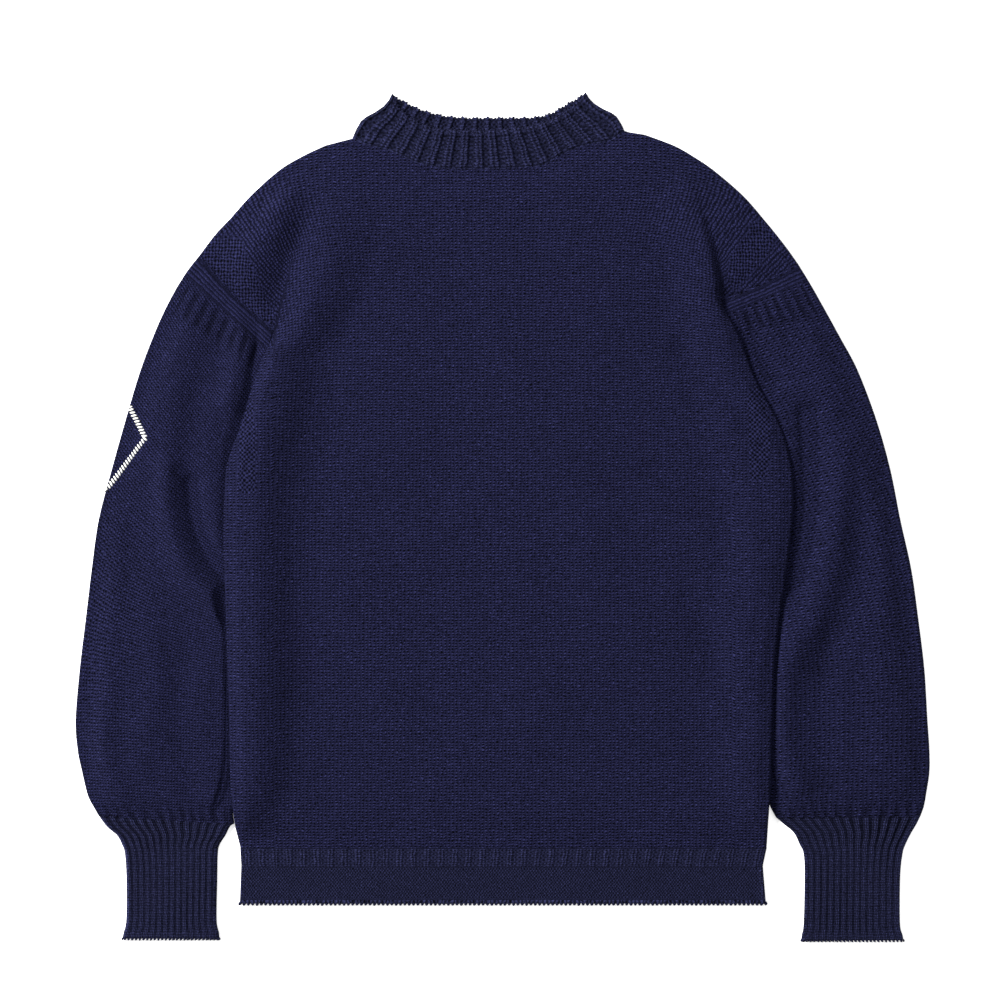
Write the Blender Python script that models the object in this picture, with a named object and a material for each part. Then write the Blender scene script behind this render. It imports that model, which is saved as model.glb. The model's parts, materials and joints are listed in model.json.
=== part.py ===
"""Fisherman sweater in heavy navy worsted, laid flat on its back panel.

+X is the garment's own left side, +Y points to the neck, +Z is up from the surface that it lies on.
Sizes in the tables are millimetres in that plan, and they are scaled to metres when a mesh is made.
Each knitted piece is a wall of cloth of its own: front, back, two welts, two sleeves, two cuffs, collar.
"""

import bpy
import bmesh
import math
import numpy as np

MM = 0.001

# Cloth
WALL = 2.5
SEAM_GAP = 0.3
SEAM_OFFSET = 0.4
RIB_HEIGHT = 1.0
RIB_SHAPE = ((0.16, 0.0), (0.28, 1.0), (0.72, 1.0), (0.84, 0.0))
LAYERS = 2.0 * WALL + SEAM_GAP
LAYER_GAP_MAX = 3.4

# Rolled edges: radius, distance of the close rows from the edge, and share of the wall left at its rim
ROLL_RADIUS = 3.5
ROLL_STEPS = (1.0, 3.5)
ROLL_RIM = 0.25
INNER_ROLL_STEPS = (0.0, 0.15, 0.5)
INNER_ROLL_RISE = 0.1
KEY_STEP = 0.001

# Body, over the sleeves that are tucked under its sides
SLEEVE_LIFT = 6.4
LIFT_PLATEAU = 6.0
LIFT_SLOPE = 28.0
CORNER_RAMP = 24.0
HEM_Y = -305.0
LIFT_FADE_HIGH = -272.0
LIFT_FADE_LOW = -300.0
BODY_SLACK = 1.2
SLACK_MARGIN = 40.0

# Fold along each armhole, where the shoulder drops below the body
FOLD_HEIGHT = 5.4
FOLD_TOP_Y = 312.0
FOLD_OUTSIDE = 9.0
FOLD_INSIDE = 38.0
FOLD_SHARE_OF_BACK = 0.42

# Sections of the body from the rib band up to the armhole seam's outer end.
# left x, left y, right x, right y, and how far the section bows up towards the neck, from 0 to 1
BODY_SECTIONS = (
    (-241.5, -305.0, 243.3, -305.0, 0.00),
    (-246.1, -283.0, 244.3, -279.0, 0.00),
    (-250.0, -240.0, 246.5, -240.0, 0.00),
    (-251.0, -190.0, 247.5, -190.0, 0.00),
    (-252.4, -140.0, 249.5, -140.0, 0.00),
    (-253.8, -95.0, 254.0, -95.0, 0.00),
    (-255.4, -55.0, 259.8, -55.0, 0.02),
    (-256.2, -15.0, 265.0, -15.0, 0.04),
    (-255.4, 20.0, 267.3, 18.0, 0.07),
    (-252.5, 50.0, 259.0, 47.0, 0.10),
    (-239.8, 85.0, 242.5, 85.0, 0.15),
    (-232.0, 112.0, 227.0, 125.0, 0.20),
    (-222.5, 140.0, 213.0, 165.0, 0.28),
    (-216.2, 155.0, 206.6, 182.0, 0.36),
    (-209.3, 171.6, 200.1, 199.2, 0.46),
    (-248.9, 206.5, 236.9, 213.9, 0.73),
    (-278.5, 241.5, 271.9, 233.2, 1.00),
)
ARMHOLE_CORNER = 14

# Fold line down each armhole, from the shoulder to the armhole corner: y, left x, right x
FOLD_LINE = (
    (312.0, -186.0, 172.0),
    (249.0, -188.6, 178.0),
    (199.2, -201.0, 200.1),
    (171.6, -209.3, 212.0),
)

# Shoulder folds outside the neck: x, y
RIGHT_SHOULDER = (
    (-278.5, 241.5), (-264.0, 260.5), (-251.6, 273.5), (-231.4, 296.0),
    (-205.6, 319.0), (-184.0, 332.0), (-163.3, 341.8),
)
LEFT_SHOULDER = (
    (131.1, 351.9), (157.8, 341.8), (176.0, 331.5), (194.6, 318.8),
    (221.3, 295.8), (241.5, 272.8), (260.0, 249.8), (271.9, 233.2),
)

# Collar stations from its right fold to its left fold:
# x and y at the neck seam in front, y at the neck seam behind, x of the top edge, its y in front and behind
COLLAR_STATIONS = (
    (-138.5, 348.2, 348.2, -101.7, 388.5, 388.7),
    (-125.6, 341.8, 344.5, -98.0, 379.5, 385.5),
    (-109.0, 338.1, 341.3, -92.5, 372.1, 382.7),
    (-94.3, 332.6, 337.8, -85.1, 366.6, 378.6),
    (-77.7, 325.2, 333.5, -72.2, 359.3, 373.1),
    (-57.5, 320.6, 330.2, -53.8, 354.7, 368.5),
    (-34.5, 319.7, 328.6, -32.7, 353.7, 366.6),
    (-11.5, 319.7, 328.2, -11.5, 353.7, 366.6),
    (11.5, 320.6, 328.6, 8.7, 355.6, 366.6),
    (34.5, 322.5, 330.2, 29.0, 358.3, 367.1),
    (51.1, 330.7, 335.0, 44.6, 363.9, 370.8),
    (65.8, 338.1, 340.3, 56.6, 371.2, 377.7),
    (82.3, 342.7, 344.2, 64.9, 377.7, 382.3),
    (98.9, 345.5, 347.8, 71.3, 384.1, 386.0),
    (112.7, 354.7, 354.7, 76.8, 389.6, 389.9),
)
COLLAR_RIBS = 16
COLLAR_RIB_SPAN = (0.02, 0.96)
COLLAR_SIDE_BULGE = 7.5
COLLAR_LEVELS = (0.0, 0.05, 0.5, 0.95, 1.0)
COLLAR_STAND = 2.6

# Sleeve sections from the armhole seam to the cuff: outer x, outer y, inner x, inner y, slack between layers
RIGHT_SLEEVE = (
    (-278.5, 241.5, -209.3, 171.6, 0.0),
    (-291.2, 225.0, -217.8, 153.2, 0.6),
    (-304.1, 203.8, -217.6, 138.0, 0.9),
    (-318.0, 175.0, -218.5, 122.0, 1.6),
    (-333.5, 134.8, -222.0, 95.0, 2.0),
    (-347.3, 88.8, -231.0, 60.0, 2.2),
    (-360.2, 42.8, -236.0, 25.0, 2.2),
    (-372.1, -3.2, -236.5, -12.0, 2.2),
    (-378.6, -49.2, -236.0, -58.0, 2.4),
    (-384.1, -95.2, -235.0, -104.0, 2.4),
    (-389.6, -141.2, -234.0, -150.0, 2.6),
    (-393.3, -187.2, -234.0, -196.0, 3.0),
    (-391.5, -214.8, -235.0, -226.0, 3.2),
    (-387.8, -233.2, -238.0, -246.0, 3.2),
    (-382.3, -256.2, -243.0, -262.0, 2.4),
    (-377.0, -267.0, -248.0, -270.0, 1.4),
    (-372.1, -275.5, -247.0, -282.9, 0.0),
)
LEFT_SLEEVE = (
    (271.9, 233.2, 200.1, 199.2, 0.0),
    (284.0, 213.5, 207.4, 181.0, 0.6),
    (297.0, 190.5, 207.6, 167.0, 0.9),
    (311.0, 165.0, 209.5, 148.0, 1.6),
    (327.1, 134.8, 218.0, 112.0, 2.0),
    (344.5, 88.8, 230.0, 74.0, 2.2),
    (357.4, 42.8, 242.5, 38.0, 2.2),
    (366.6, -3.2, 247.0, -6.0, 2.2),
    (376.7, -49.2, 241.0, -52.0, 2.4),
    (383.2, -95.2, 235.0, -98.0, 2.4),
    (388.7, -141.2, 231.0, -144.0, 2.6),
    (391.5, -187.2, 230.0, -190.0, 3.0),
    (393.3, -214.8, 231.0, -224.0, 3.2),
    (393.3, -235.1, 237.0, -246.0, 3.2),
    (390.5, -254.4, 243.0, -259.0, 2.4),
    (388.2, -267.0, 247.5, -269.0, 1.4),
    (385.0, -276.1, 252.1, -277.4, 0.0),
)
HEAD_RIB_SECTIONS = (1, 2)
HEAD_RIBS = 9
HEAD_RIB_SPAN = (0.06, 0.82)
SLEEVE_SHARES = (0.12, 0.24, 0.36, 0.48, 0.58, 0.68, 0.78, 0.88)
UNDER_SHARES = (0.25, 0.75)
CROWN_WIDTH = 30.0
TUCK_WIDTH = 30.0
VALLEY_WIDTH = 46.0

# Cuff sections below the sleeve's last one: outer x, inner x, y, rib height
RIGHT_CUFF = (
    (-355.0, -255.3, -293.9, 1.0),
    (-350.5, -260.5, -302.2, 1.0),
    (-347.8, -262.2, -311.0, 1.0),
    (-346.4, -262.7, -335.0, 1.0),
    (-346.6, -263.3, -371.0, 1.0),
    (-350.0, -260.6, -384.0, 0.6),
    (-349.5, -261.3, -389.3, 0.0),
)
LEFT_CUFF = (
    (376.5, 268.5, -291.5, 1.0),
    (371.2, 273.8, -302.2, 1.0),
    (368.5, 277.4, -311.0, 1.0),
    (366.4, 278.3, -332.0, 1.0),
    (366.2, 277.4, -374.0, 1.0),
    (369.8, 275.0, -386.5, 0.6),
    (368.5, 276.8, -390.8, 0.0),
)
CUFF_RIBS = 12
CUFF_RIB_SPAN = (0.04, 0.92)
CUFF_INNER_SECTIONS = (0, 2, 4, 6, 7)

# Welts, in one with the rib band above: y of the rib band's ends, the welt's edge and its chain edge
RIB_BAND_TOP = -305.3
RIB_BAND_LOW = -321.5
RIB_BEVEL = 1.8
WELT_EDGE = -357.0
WELT_SIDES = ((-241.5, 243.3), (-240.6, 239.7), (-241.9, 242.6))
WELT_RIBS = 38
WELT_COLUMNS = 20
WELT_RIB_ROWS = (1, 2)
WELT_INNER_ROWS = (0, 3, 4)

# Largest folds in the top layer: half width, height, then points along the fold
BODY_FOLDS = (
    (16.0, -1.0, ((-140.0, 270.0), (-154.0, 208.0), (-177.0, 116.0), (-196.0, 34.0), (-205.0, -58.0))),
    (14.0, 1.3, ((-205.0, -58.0), (-214.0, -132.0), (-228.0, -188.0))),
    (15.0, -1.0, ((163.0, 135.0), (190.0, 80.0), (219.0, 43.0))),
    (16.0, 1.2, ((130.0, 60.0), (180.0, -20.0), (222.0, -100.0))),
    (18.0, -0.9, ((150.0, 15.0), (190.0, -60.0), (230.0, -190.0))),
)
SLEEVE_FOLDS = (
    (11.0, 1.8, ((-287.0, 162.0), (-310.0, 107.0), (-324.0, 43.0), (-315.0, -12.0), (-276.0, -72.0))),
    (8.0, -1.5, ((-303.0, 12.0), (-284.0, -24.0), (-262.0, -60.0))),
    (8.0, -1.3, ((-290.0, -66.0), (-262.0, -95.0))),
    (12.0, 1.8, ((292.0, 15.0), (284.0, -40.0), (272.0, -85.0), (262.0, -114.0))),
    (10.0, -1.4, ((276.0, 68.0), (278.0, 0.0), (268.0, -72.0))),
)

NAVY = (0.0159, 0.0168, 0.0497, 1.0)
WOOL_ROUGHNESS = 0.92

SHARP_ANGLE = math.radians(50.0)
ROUND_45 = 1.0 - math.cos(math.radians(45.0))


def smooth(t):
    """0 to 1 with level ends."""
    t = np.clip(t, 0.0, 1.0)
    return t * t * (3.0 - 2.0 * t)


def distance_to_line(x, y, line):
    """Distance from a plan point to a bent line."""
    best = math.inf
    for (ax, ay), (bx, by) in zip(line[:-1], line[1:]):
        dx = bx - ax
        dy = by - ay
        along = np.clip(((x - ax) * dx + (y - ay) * dy) / (dx * dx + dy * dy), 0.0, 1.0)
        best = min(best, math.hypot(x - ax - along * dx, y - ay - along * dy))
    return best


def fold_height(x, y, folds):
    """Height that the folds of a layer add at a plan point."""
    height = 0.0
    for half_width, peak, line in folds:
        height += peak * math.exp(-(distance_to_line(x, y, line) / half_width) ** 2)
    return height


def sleeve_lift(x, y):
    """How far a tucked sleeve lifts the body."""
    lift = 0.0
    for side, sections, corner in ((1, RIGHT_SLEEVE, 1), (-1, LEFT_SLEEVE, 3)):
        inner_y = [row[3] for row in reversed(sections)]
        inner_x = [row[2] for row in reversed(sections)]
        inside = side * (x - np.interp(y, inner_y, inner_x))
        across = 1.0 - smooth((inside - LIFT_PLATEAU) / LIFT_SLOPE)
        below_corner = smooth((BODY_SECTIONS[ARMHOLE_CORNER][corner] - y) / CORNER_RAMP)
        above_hem = smooth((y - LIFT_FADE_LOW) / (LIFT_FADE_HIGH - LIFT_FADE_LOW))
        lift = max(lift, SLEEVE_LIFT * across * below_corner * above_hem)
    return lift


def armhole_fold(x, y):
    """Height of the fold where the shoulder drops beside the body."""
    height = 0.0
    fold_y = [row[0] for row in reversed(FOLD_LINE)]
    for side, column, corner in ((1, 1, 1), (-1, 2, 3)):
        corner_y = BODY_SECTIONS[ARMHOLE_CORNER][corner]
        inside = side * (x - np.interp(y, fold_y, [row[column] for row in reversed(FOLD_LINE)]))
        reach = FOLD_INSIDE if inside > 0.0 else FOLD_OUTSIDE
        across = 1.0 - smooth(abs(inside) / reach)
        if y > corner_y:
            along = smooth((FOLD_TOP_Y - y) / (FOLD_TOP_Y - corner_y))
        else:
            along = 1.0 - smooth((corner_y - y) / CORNER_RAMP)
        height = max(height, FOLD_HEIGHT * across * along)
    return height


def body_top(neck_column):
    """Top edge of a body panel: shoulder fold, neck seam, shoulder fold."""
    neck = tuple((row[0], row[neck_column]) for row in COLLAR_STATIONS)
    return RIGHT_SHOULDER + neck + LEFT_SHOULDER


def body_plan(neck_column):
    """Plan points of a body panel, with close rows and columns along its rolled edges."""
    top = np.array(body_top(neck_column))
    share = (top[:, 0] - top[0, 0]) / (top[-1, 0] - top[0, 0])
    rise = top[:, 1] - top[0, 1] - share * (top[-1, 1] - top[0, 1])
    grid = []
    for left_x, left_y, right_x, right_y, bow in BODY_SECTIONS:
        x = left_x + share * (right_x - left_x)
        y = left_y + share * (right_y - left_y) + bow * rise
        grid.append(np.column_stack((x, y)))
    grid = np.array(grid)
    right_edge = steps_from(grid[:, 0], grid[:, 1])
    left_edge = steps_from(grid[:, -1], grid[:, -2])
    grid = np.concatenate((right_edge, grid[:, 1:-1], left_edge[:, ::-1]), axis=1)
    top_edge = steps_from(grid[-1], grid[-2]).transpose(1, 0, 2)
    return np.concatenate((grid[:-1], top_edge[::-1]), axis=0)


def steps_from(edge, inner):
    """Points on an edge and at each roll step from it towards the next line of points."""
    way = inner - edge
    way = way / np.linalg.norm(way, axis=1)[:, None]
    return np.stack([edge] + [edge + step * way for step in ROLL_STEPS], axis=1)


def roll(distance):
    """Share of the wall's thickness that is left at a distance from a rolled edge."""
    inward = 1.0 - min(distance, ROLL_RADIUS) / ROLL_RADIUS
    return max(ROLL_RIM, math.sqrt(1.0 - inward * inward))


def edge_steps(count, both_ends):
    """Distance of each line of points from the rolled edge at its end or ends."""
    steps = [ROLL_RADIUS] * count
    for index, step in enumerate((0.0,) + ROLL_STEPS):
        steps[count - 1 - index] = step
        if both_ends:
            steps[index] = step
    return steps


def body_walls(neck_column, front):
    """Outer and inner points of a body panel."""
    plan = body_plan(neck_column)
    rows, columns = plan.shape[:2]
    from_side = edge_steps(columns, True)
    from_top = edge_steps(rows, False)
    edge = len(ROLL_STEPS)
    neck = range(len(RIGHT_SHOULDER) + edge, columns - len(LEFT_SHOULDER) - edge)
    outer = []
    inner = []
    for i in range(rows):
        outer_row = []
        inner_row = []
        for j in range(columns):
            x, y = plan[i, j]
            side_roll = roll(from_side[j]) if i < ARMHOLE_CORNER else 1.0
            top_roll = 1.0 if j in neck else roll(from_top[i])
            thickness = WALL * min(side_roll, top_roll)
            fold = armhole_fold(x, y)
            level = WALL + sleeve_lift(x, y) + FOLD_SHARE_OF_BACK * fold
            if front:
                margin = min(x - plan[i, 0, 0], plan[i, -1, 0] - x, y - HEM_Y, plan[-1, j, 1] - y)
                slack = (BODY_SLACK + fold_height(x, y, BODY_FOLDS)) * smooth(margin / SLACK_MARGIN)
                gap = (1.0 - FOLD_SHARE_OF_BACK) * fold + max(slack, 0.0)
                level += SEAM_GAP + min(gap, LAYER_GAP_MAX)
                outer_row.append((x, y, level + thickness))
            else:
                outer_row.append((x, y, level - thickness))
            inner_row.append((x, y, level))
        keys = list(range(columns))
        outer.append((keys, outer_row))
        inner.append((keys, inner_row))
    return outer, inner


def rib_points(count, span):
    """Shares across a ribbed band, four for each rib, with 1 on a rib's crest and 0 in its valley."""
    start, width = span
    points = []
    for rib in range(count):
        for share, crest in RIB_SHAPE:
            points.append((start + width * (rib + share) / count, crest))
    return points


def flat_ring(over, under, top, under_shares, depth):
    """One section of a flattened tube, from its start fold over the top and back underneath.

    over and under give plan points from a share; top lists shares with the height over the layers.
    """
    (x0, y0), (x1, y1) = over(0.0), over(1.0)
    width = math.hypot(x1 - x0, y1 - y0)
    radius = 0.5 * LAYERS
    if depth == 0.0:
        inset = (0.0, ROUND_45 * radius, radius)
        rise = (0.0, (1.0 - ROUND_45) * radius, radius)
    else:
        inset = [depth + step for step in INNER_ROLL_STEPS]
        rise = (0.0, INNER_ROLL_RISE, 0.5 * SEAM_GAP)
    keys = []
    points = []

    def add(key, share, z, path):
        x, y = path(share)
        keys.append(key)
        points.append((x, y, z))

    for index in range(3):
        add(KEY_STEP * index, inset[index] / width, radius + rise[index], over)
    for share, height in top:
        add(0.5 * share, share, radius + rise[2] + height, over)
    for index in (2, 1, 0):
        add(0.5 - KEY_STEP * index, 1.0 - inset[index] / width, radius + rise[index], over)
    for index in (1, 2):
        add(0.5 + KEY_STEP * index, 1.0 - inset[index] / width, radius - rise[index], under)
    for share in reversed(under_shares):
        add(1.0 - 0.5 * share, share, radius - rise[2], under)
    for index in (2, 1):
        add(1.0 - KEY_STEP * index, inset[index] / width, radius - rise[index], under)
    return keys, points


def straight(x0, y0, x1, y1):
    """Plan points along a straight section."""
    return lambda share: (x0 + share * (x1 - x0), y0 + share * (y1 - y0))


def seam_path(side):
    """Armhole seam from the shoulder fold to the armhole corner, moved off the body panels."""
    column = 0 if side < 0 else 2
    ends = [BODY_SECTIONS[i][column:column + 2] for i in (-1, -2, ARMHOLE_CORNER)]
    (ax, ay), (mx, my), (bx, by) = ends
    length = math.hypot(bx - ax, by - ay)
    off_x = side * abs(by - ay) / length * SEAM_OFFSET
    off_y = -abs(bx - ax) / length * SEAM_OFFSET
    middle = seam_bend(side)
    shares = (0.0, middle, 1.0)

    def path(share):
        x = np.interp(share, shares, (ax, mx, bx))
        y = np.interp(share, shares, (ay, my, by))
        return x + off_x, y + off_y

    return path


def seam_bend(side):
    """Share along the armhole seam at which it bends."""
    column = 0 if side < 0 else 2
    (ax, ay), (mx, my), (bx, by) = [BODY_SECTIONS[i][column:column + 2] for i in (-1, -2, ARMHOLE_CORNER)]
    first = math.hypot(mx - ax, my - ay)
    return first / (first + math.hypot(bx - mx, by - my))


def sleeve_walls(side, sections):
    """Outer and inner points of a sleeve, a flattened tube whose inner edge lies under the body."""
    shares = sorted(SLEEVE_SHARES + (seam_bend(side),))
    under = sorted(UNDER_SHARES + (seam_bend(side),))
    outer = []
    inner = []
    for index, (outer_x, outer_y, inner_x, inner_y, slack) in enumerate(sections):
        path = straight(outer_x, outer_y, inner_x, inner_y)
        if index == 0:
            path = seam_path(side)
        width = math.hypot(inner_x - outer_x, inner_y - outer_y)
        heights = []
        for share in shares:
            x, y = path(share)
            from_inner = width - share * width - TUCK_WIDTH
            puff = smooth(share * width / CROWN_WIDTH) * smooth(from_inner / VALLEY_WIDTH)
            fold = fold_height(x, y, SLEEVE_FOLDS) if slack > 0.0 else 0.0
            heights.append(float(np.clip(puff * (slack + fold), 0.0, LAYER_GAP_MAX)))
        top = list(zip(shares, heights))
        inner.append(flat_ring(path, path, top, under, WALL))
        if index in HEAD_RIB_SECTIONS:
            top = [(share, np.interp(share, shares, heights) + RIB_HEIGHT * crest)
                   for share, crest in rib_points(HEAD_RIBS, HEAD_RIB_SPAN)]
        outer.append(flat_ring(path, path, top, under, 0.0))
    return outer, inner


def cuff_walls(sleeve, cuff):
    """Outer and inner points of a cuff, a flattened tube with ribs on its upper face."""
    outer_x, outer_y, inner_x, inner_y, _ = sleeve[-1]
    first = (outer_x, outer_y - SEAM_OFFSET, inner_x, inner_y - SEAM_OFFSET, 0.0)
    sections = [first] + [(a, y, b, y, height) for a, b, y, height in cuff]
    flat = [(share, 0.0) for share in SLEEVE_SHARES]
    outer = []
    inner = []
    for index, (x0, y0, x1, y1, height) in enumerate(sections):
        path = straight(x0, y0, x1, y1)
        top = flat
        if height > 0.0:
            top = [(share, height * RIB_HEIGHT * crest)
                   for share, crest in rib_points(CUFF_RIBS, CUFF_RIB_SPAN)]
        outer.append(flat_ring(path, path, top, UNDER_SHARES, 0.0))
        if index in CUFF_INNER_SECTIONS:
            inner.append(flat_ring(path, path, flat, UNDER_SHARES, WALL))
    return outer, inner


def collar_path(level, back):
    """Plan points round half of the collar at a level from 0, the neck seam, to 1, the top edge."""
    stations = np.array(COLLAR_STATIONS)
    base_x = stations[:, 0]
    base_y = stations[:, 2 if back else 1] + SEAM_OFFSET
    top_x = stations[:, 3]
    top_y = stations[:, 5 if back else 4]
    steps = np.hypot(np.diff(base_x), np.diff(stations[:, 1]))
    place = np.concatenate(([0.0], np.cumsum(steps))) / steps.sum()
    bulge = COLLAR_SIDE_BULGE * 4.0 * level * (1.0 - level) * (2.0 * place - 1.0) ** 9
    x = base_x + level * (top_x - base_x) + bulge
    y = base_y + level * (top_y - base_y)
    return lambda share: (np.interp(share, place, x), np.interp(share, place, y)), place


def collar_stand(level, share):
    """Height of the collar's front half over its back half."""
    return COLLAR_STAND * smooth(level) * smooth(math.sin(math.pi * share))


def collar_walls():
    """Outer and inner points of the collar, a flattened ring whose front half is ribbed."""
    outer = []
    inner = []
    for level in COLLAR_LEVELS:
        front, place = collar_path(level, False)
        back, _ = collar_path(level, True)
        stations = list(place[1:-1])
        plain = [(share, collar_stand(level, share)) for share in stations]
        inner.append(flat_ring(front, back, plain, stations, WALL))
        top = plain
        if 0.0 < level < 1.0:
            top = [(share, collar_stand(level, share) + RIB_HEIGHT * crest)
                   for share, crest in rib_points(COLLAR_RIBS, COLLAR_RIB_SPAN)]
        outer.append(flat_ring(front, back, top, stations, 0.0))
    return outer, inner


def welt_walls(front):
    """Outer and inner points of a split welt with the rib band above it."""
    band_y = (RIB_BAND_TOP, RIB_BAND_LOW, WELT_EDGE)
    right = [sides[0] for sides in WELT_SIDES]
    left = [sides[1] for sides in WELT_SIDES]
    rows_y = (RIB_BAND_TOP, RIB_BAND_TOP - RIB_BEVEL, RIB_BAND_LOW + RIB_BEVEL, RIB_BAND_LOW, WELT_EDGE)
    level = WALL + SEAM_GAP if front else 0.0
    plain = [(index / (WELT_COLUMNS - 1), 0.0) for index in range(WELT_COLUMNS)]
    outer = []
    inner = []
    for index, y in enumerate(rows_y):
        x0 = np.interp(-y, [-b for b in band_y], right)
        x1 = np.interp(-y, [-b for b in band_y], left)
        shares = plain
        if front and index in WELT_RIB_ROWS:
            shares = [(0.0, 0.0)] + rib_points(WELT_RIBS, (0.0, 1.0)) + [(1.0, 0.0)]
        points = [(x0 + share * (x1 - x0), y, level + WALL + RIB_HEIGHT * crest) for share, crest in shares]
        outer.append(([share for share, _ in shares], points))
        if index in WELT_INNER_ROWS:
            points = [(x0 + share * (x1 - x0), y, level) for share, _ in plain]
            inner.append(([share for share, _ in plain], points))
    return outer, inner


def stitch(mesh, row_a, row_b, closed):
    """Faces between two rows of vertices; unlike rows advance whichever is behind."""
    keys_a, a = row_a
    keys_b, b = row_b
    if closed:
        keys_a = list(keys_a) + [keys_a[0] + 1.0]
        keys_b = list(keys_b) + [keys_b[0] + 1.0]
        a = a + a[:1]
        b = b + b[:1]
    if len(a) == len(b):
        for i in range(len(a) - 1):
            mesh.faces.new((a[i], a[i + 1], b[i + 1], b[i]))
        return
    i = 0
    j = 0
    while i < len(a) - 1 or j < len(b) - 1:
        at_end_of_b = j == len(b) - 1
        if at_end_of_b or (i < len(a) - 1 and keys_a[i + 1] <= keys_b[j + 1]):
            mesh.faces.new((a[i], a[i + 1], b[j]))
            i += 1
        else:
            mesh.faces.new((a[i], b[j + 1], b[j]))
            j += 1


def wool(name):
    """Navy worsted."""
    material = bpy.data.materials.new(name)
    material.use_nodes = True
    shader = material.node_tree.nodes["Principled BSDF"]
    shader.inputs["Base Color"].default_value = NAVY
    shader.inputs["Roughness"].default_value = WOOL_ROUGHNESS
    shader.inputs["Metallic"].default_value = 0.0
    material.diffuse_color = NAVY
    return material


def wall(name, outer, inner, closed):
    """One piece of cloth: outer rows, inner rows and the rims between them."""
    mesh = bmesh.new()
    skins = []
    for rows in (outer, inner):
        skin = []
        for keys, points in rows:
            skin.append((keys, [mesh.verts.new([c * MM for c in point]) for point in points]))
        for row_a, row_b in zip(skin[:-1], skin[1:]):
            stitch(mesh, row_a, row_b, closed)
        skins.append(skin)
    stitch(mesh, skins[0][0], skins[1][0], closed)
    stitch(mesh, skins[0][-1], skins[1][-1], closed)
    if not closed:
        for column in (0, -1):
            sides = []
            for skin in skins:
                keys = [row[1][0].co.y for row in skin]
                order = 1.0 if keys[-1] > keys[0] else -1.0
                sides.append(([order * key for key in keys], [row[1][column] for row in skin]))
            stitch(mesh, sides[0], sides[1], False)
    bmesh.ops.recalc_face_normals(mesh, faces=mesh.faces)
    data = bpy.data.meshes.new(name)
    mesh.to_mesh(data)
    mesh.free()
    data.shade_smooth()
    data.set_sharp_from_angle(angle=SHARP_ANGLE)
    piece = bpy.data.objects.new(name, data)
    piece.data.materials.append(wool(name))
    return piece


def build():
    for old in list(bpy.data.objects):
        bpy.data.objects.remove(old, do_unlink=True)
    sweater = bpy.data.collections.new("fisherman_sweater")
    bpy.context.scene.collection.children.link(sweater)
    pieces = (
        wall("front_panel", *body_walls(1, True), False),
        wall("back_panel", *body_walls(2, False), False),
        wall("front_welt", *welt_walls(True), False),
        wall("back_welt", *welt_walls(False), False),
        wall("sleeve_right", *sleeve_walls(-1, RIGHT_SLEEVE), True),
        wall("sleeve_left", *sleeve_walls(1, LEFT_SLEEVE), True),
        wall("cuff_right", *cuff_walls(RIGHT_SLEEVE, RIGHT_CUFF), True),
        wall("cuff_left", *cuff_walls(LEFT_SLEEVE, LEFT_CUFF), True),
        wall("collar", *collar_walls(), True),
    )
    for piece in pieces:
        sweater.objects.link(piece)


build()
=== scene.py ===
"""Fisherman sweater in heavy navy worsted, knitted in pieces and laid flat on its back.

+X is the garment's own left side, +Y points to the neck, +Z is up from the surface that it lies on.
Tables are millimetres in that plan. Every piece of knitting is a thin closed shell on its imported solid.
"""

import bpy
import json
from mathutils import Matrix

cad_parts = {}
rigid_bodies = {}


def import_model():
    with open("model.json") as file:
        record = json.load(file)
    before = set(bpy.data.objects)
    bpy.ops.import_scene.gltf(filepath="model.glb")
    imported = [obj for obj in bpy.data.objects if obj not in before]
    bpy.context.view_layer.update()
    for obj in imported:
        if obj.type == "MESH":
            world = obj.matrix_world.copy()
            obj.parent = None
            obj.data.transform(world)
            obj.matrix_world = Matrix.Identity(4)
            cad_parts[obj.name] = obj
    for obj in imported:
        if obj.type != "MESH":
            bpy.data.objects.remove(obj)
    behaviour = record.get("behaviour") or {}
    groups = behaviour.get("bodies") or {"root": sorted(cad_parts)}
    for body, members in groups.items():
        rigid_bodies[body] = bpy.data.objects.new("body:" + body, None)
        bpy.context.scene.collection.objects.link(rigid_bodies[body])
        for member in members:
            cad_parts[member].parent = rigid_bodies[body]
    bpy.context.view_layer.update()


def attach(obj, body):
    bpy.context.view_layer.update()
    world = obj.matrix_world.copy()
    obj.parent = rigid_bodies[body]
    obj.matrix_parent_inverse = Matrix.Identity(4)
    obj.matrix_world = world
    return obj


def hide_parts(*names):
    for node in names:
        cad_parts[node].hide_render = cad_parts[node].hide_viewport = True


for leftover in list(bpy.data.objects):
    bpy.data.objects.remove(leftover, do_unlink=True)
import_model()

import json
import math
import bmesh
import numpy as np

# Camera
# Straight above the garment, with the neck at the top of the picture.
# The picture is as wide as 920 mm of the cloth, and it is centred a little below the chest's middle.
MM = 0.001
PICTURE_WIDTH = 920.0
PICTURE_CENTRE = (-2.3, 15.2)
CLOTH_LEVEL = 6.0
LENS = 100.0
SENSOR = 36.0


def put(name, data):
    """A new object in the scene."""
    made = bpy.data.objects.new(name, data)
    bpy.context.scene.collection.objects.link(made)
    return made


camera = put("camera", bpy.data.cameras.new("camera"))
bpy.context.scene.camera = camera
camera.data.lens = LENS
camera.data.sensor_width = SENSOR
camera_height = CLOTH_LEVEL + PICTURE_WIDTH * LENS / SENSOR
camera.location = (PICTURE_CENTRE[0] * MM, PICTURE_CENTRE[1] * MM, camera_height * MM)

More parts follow.
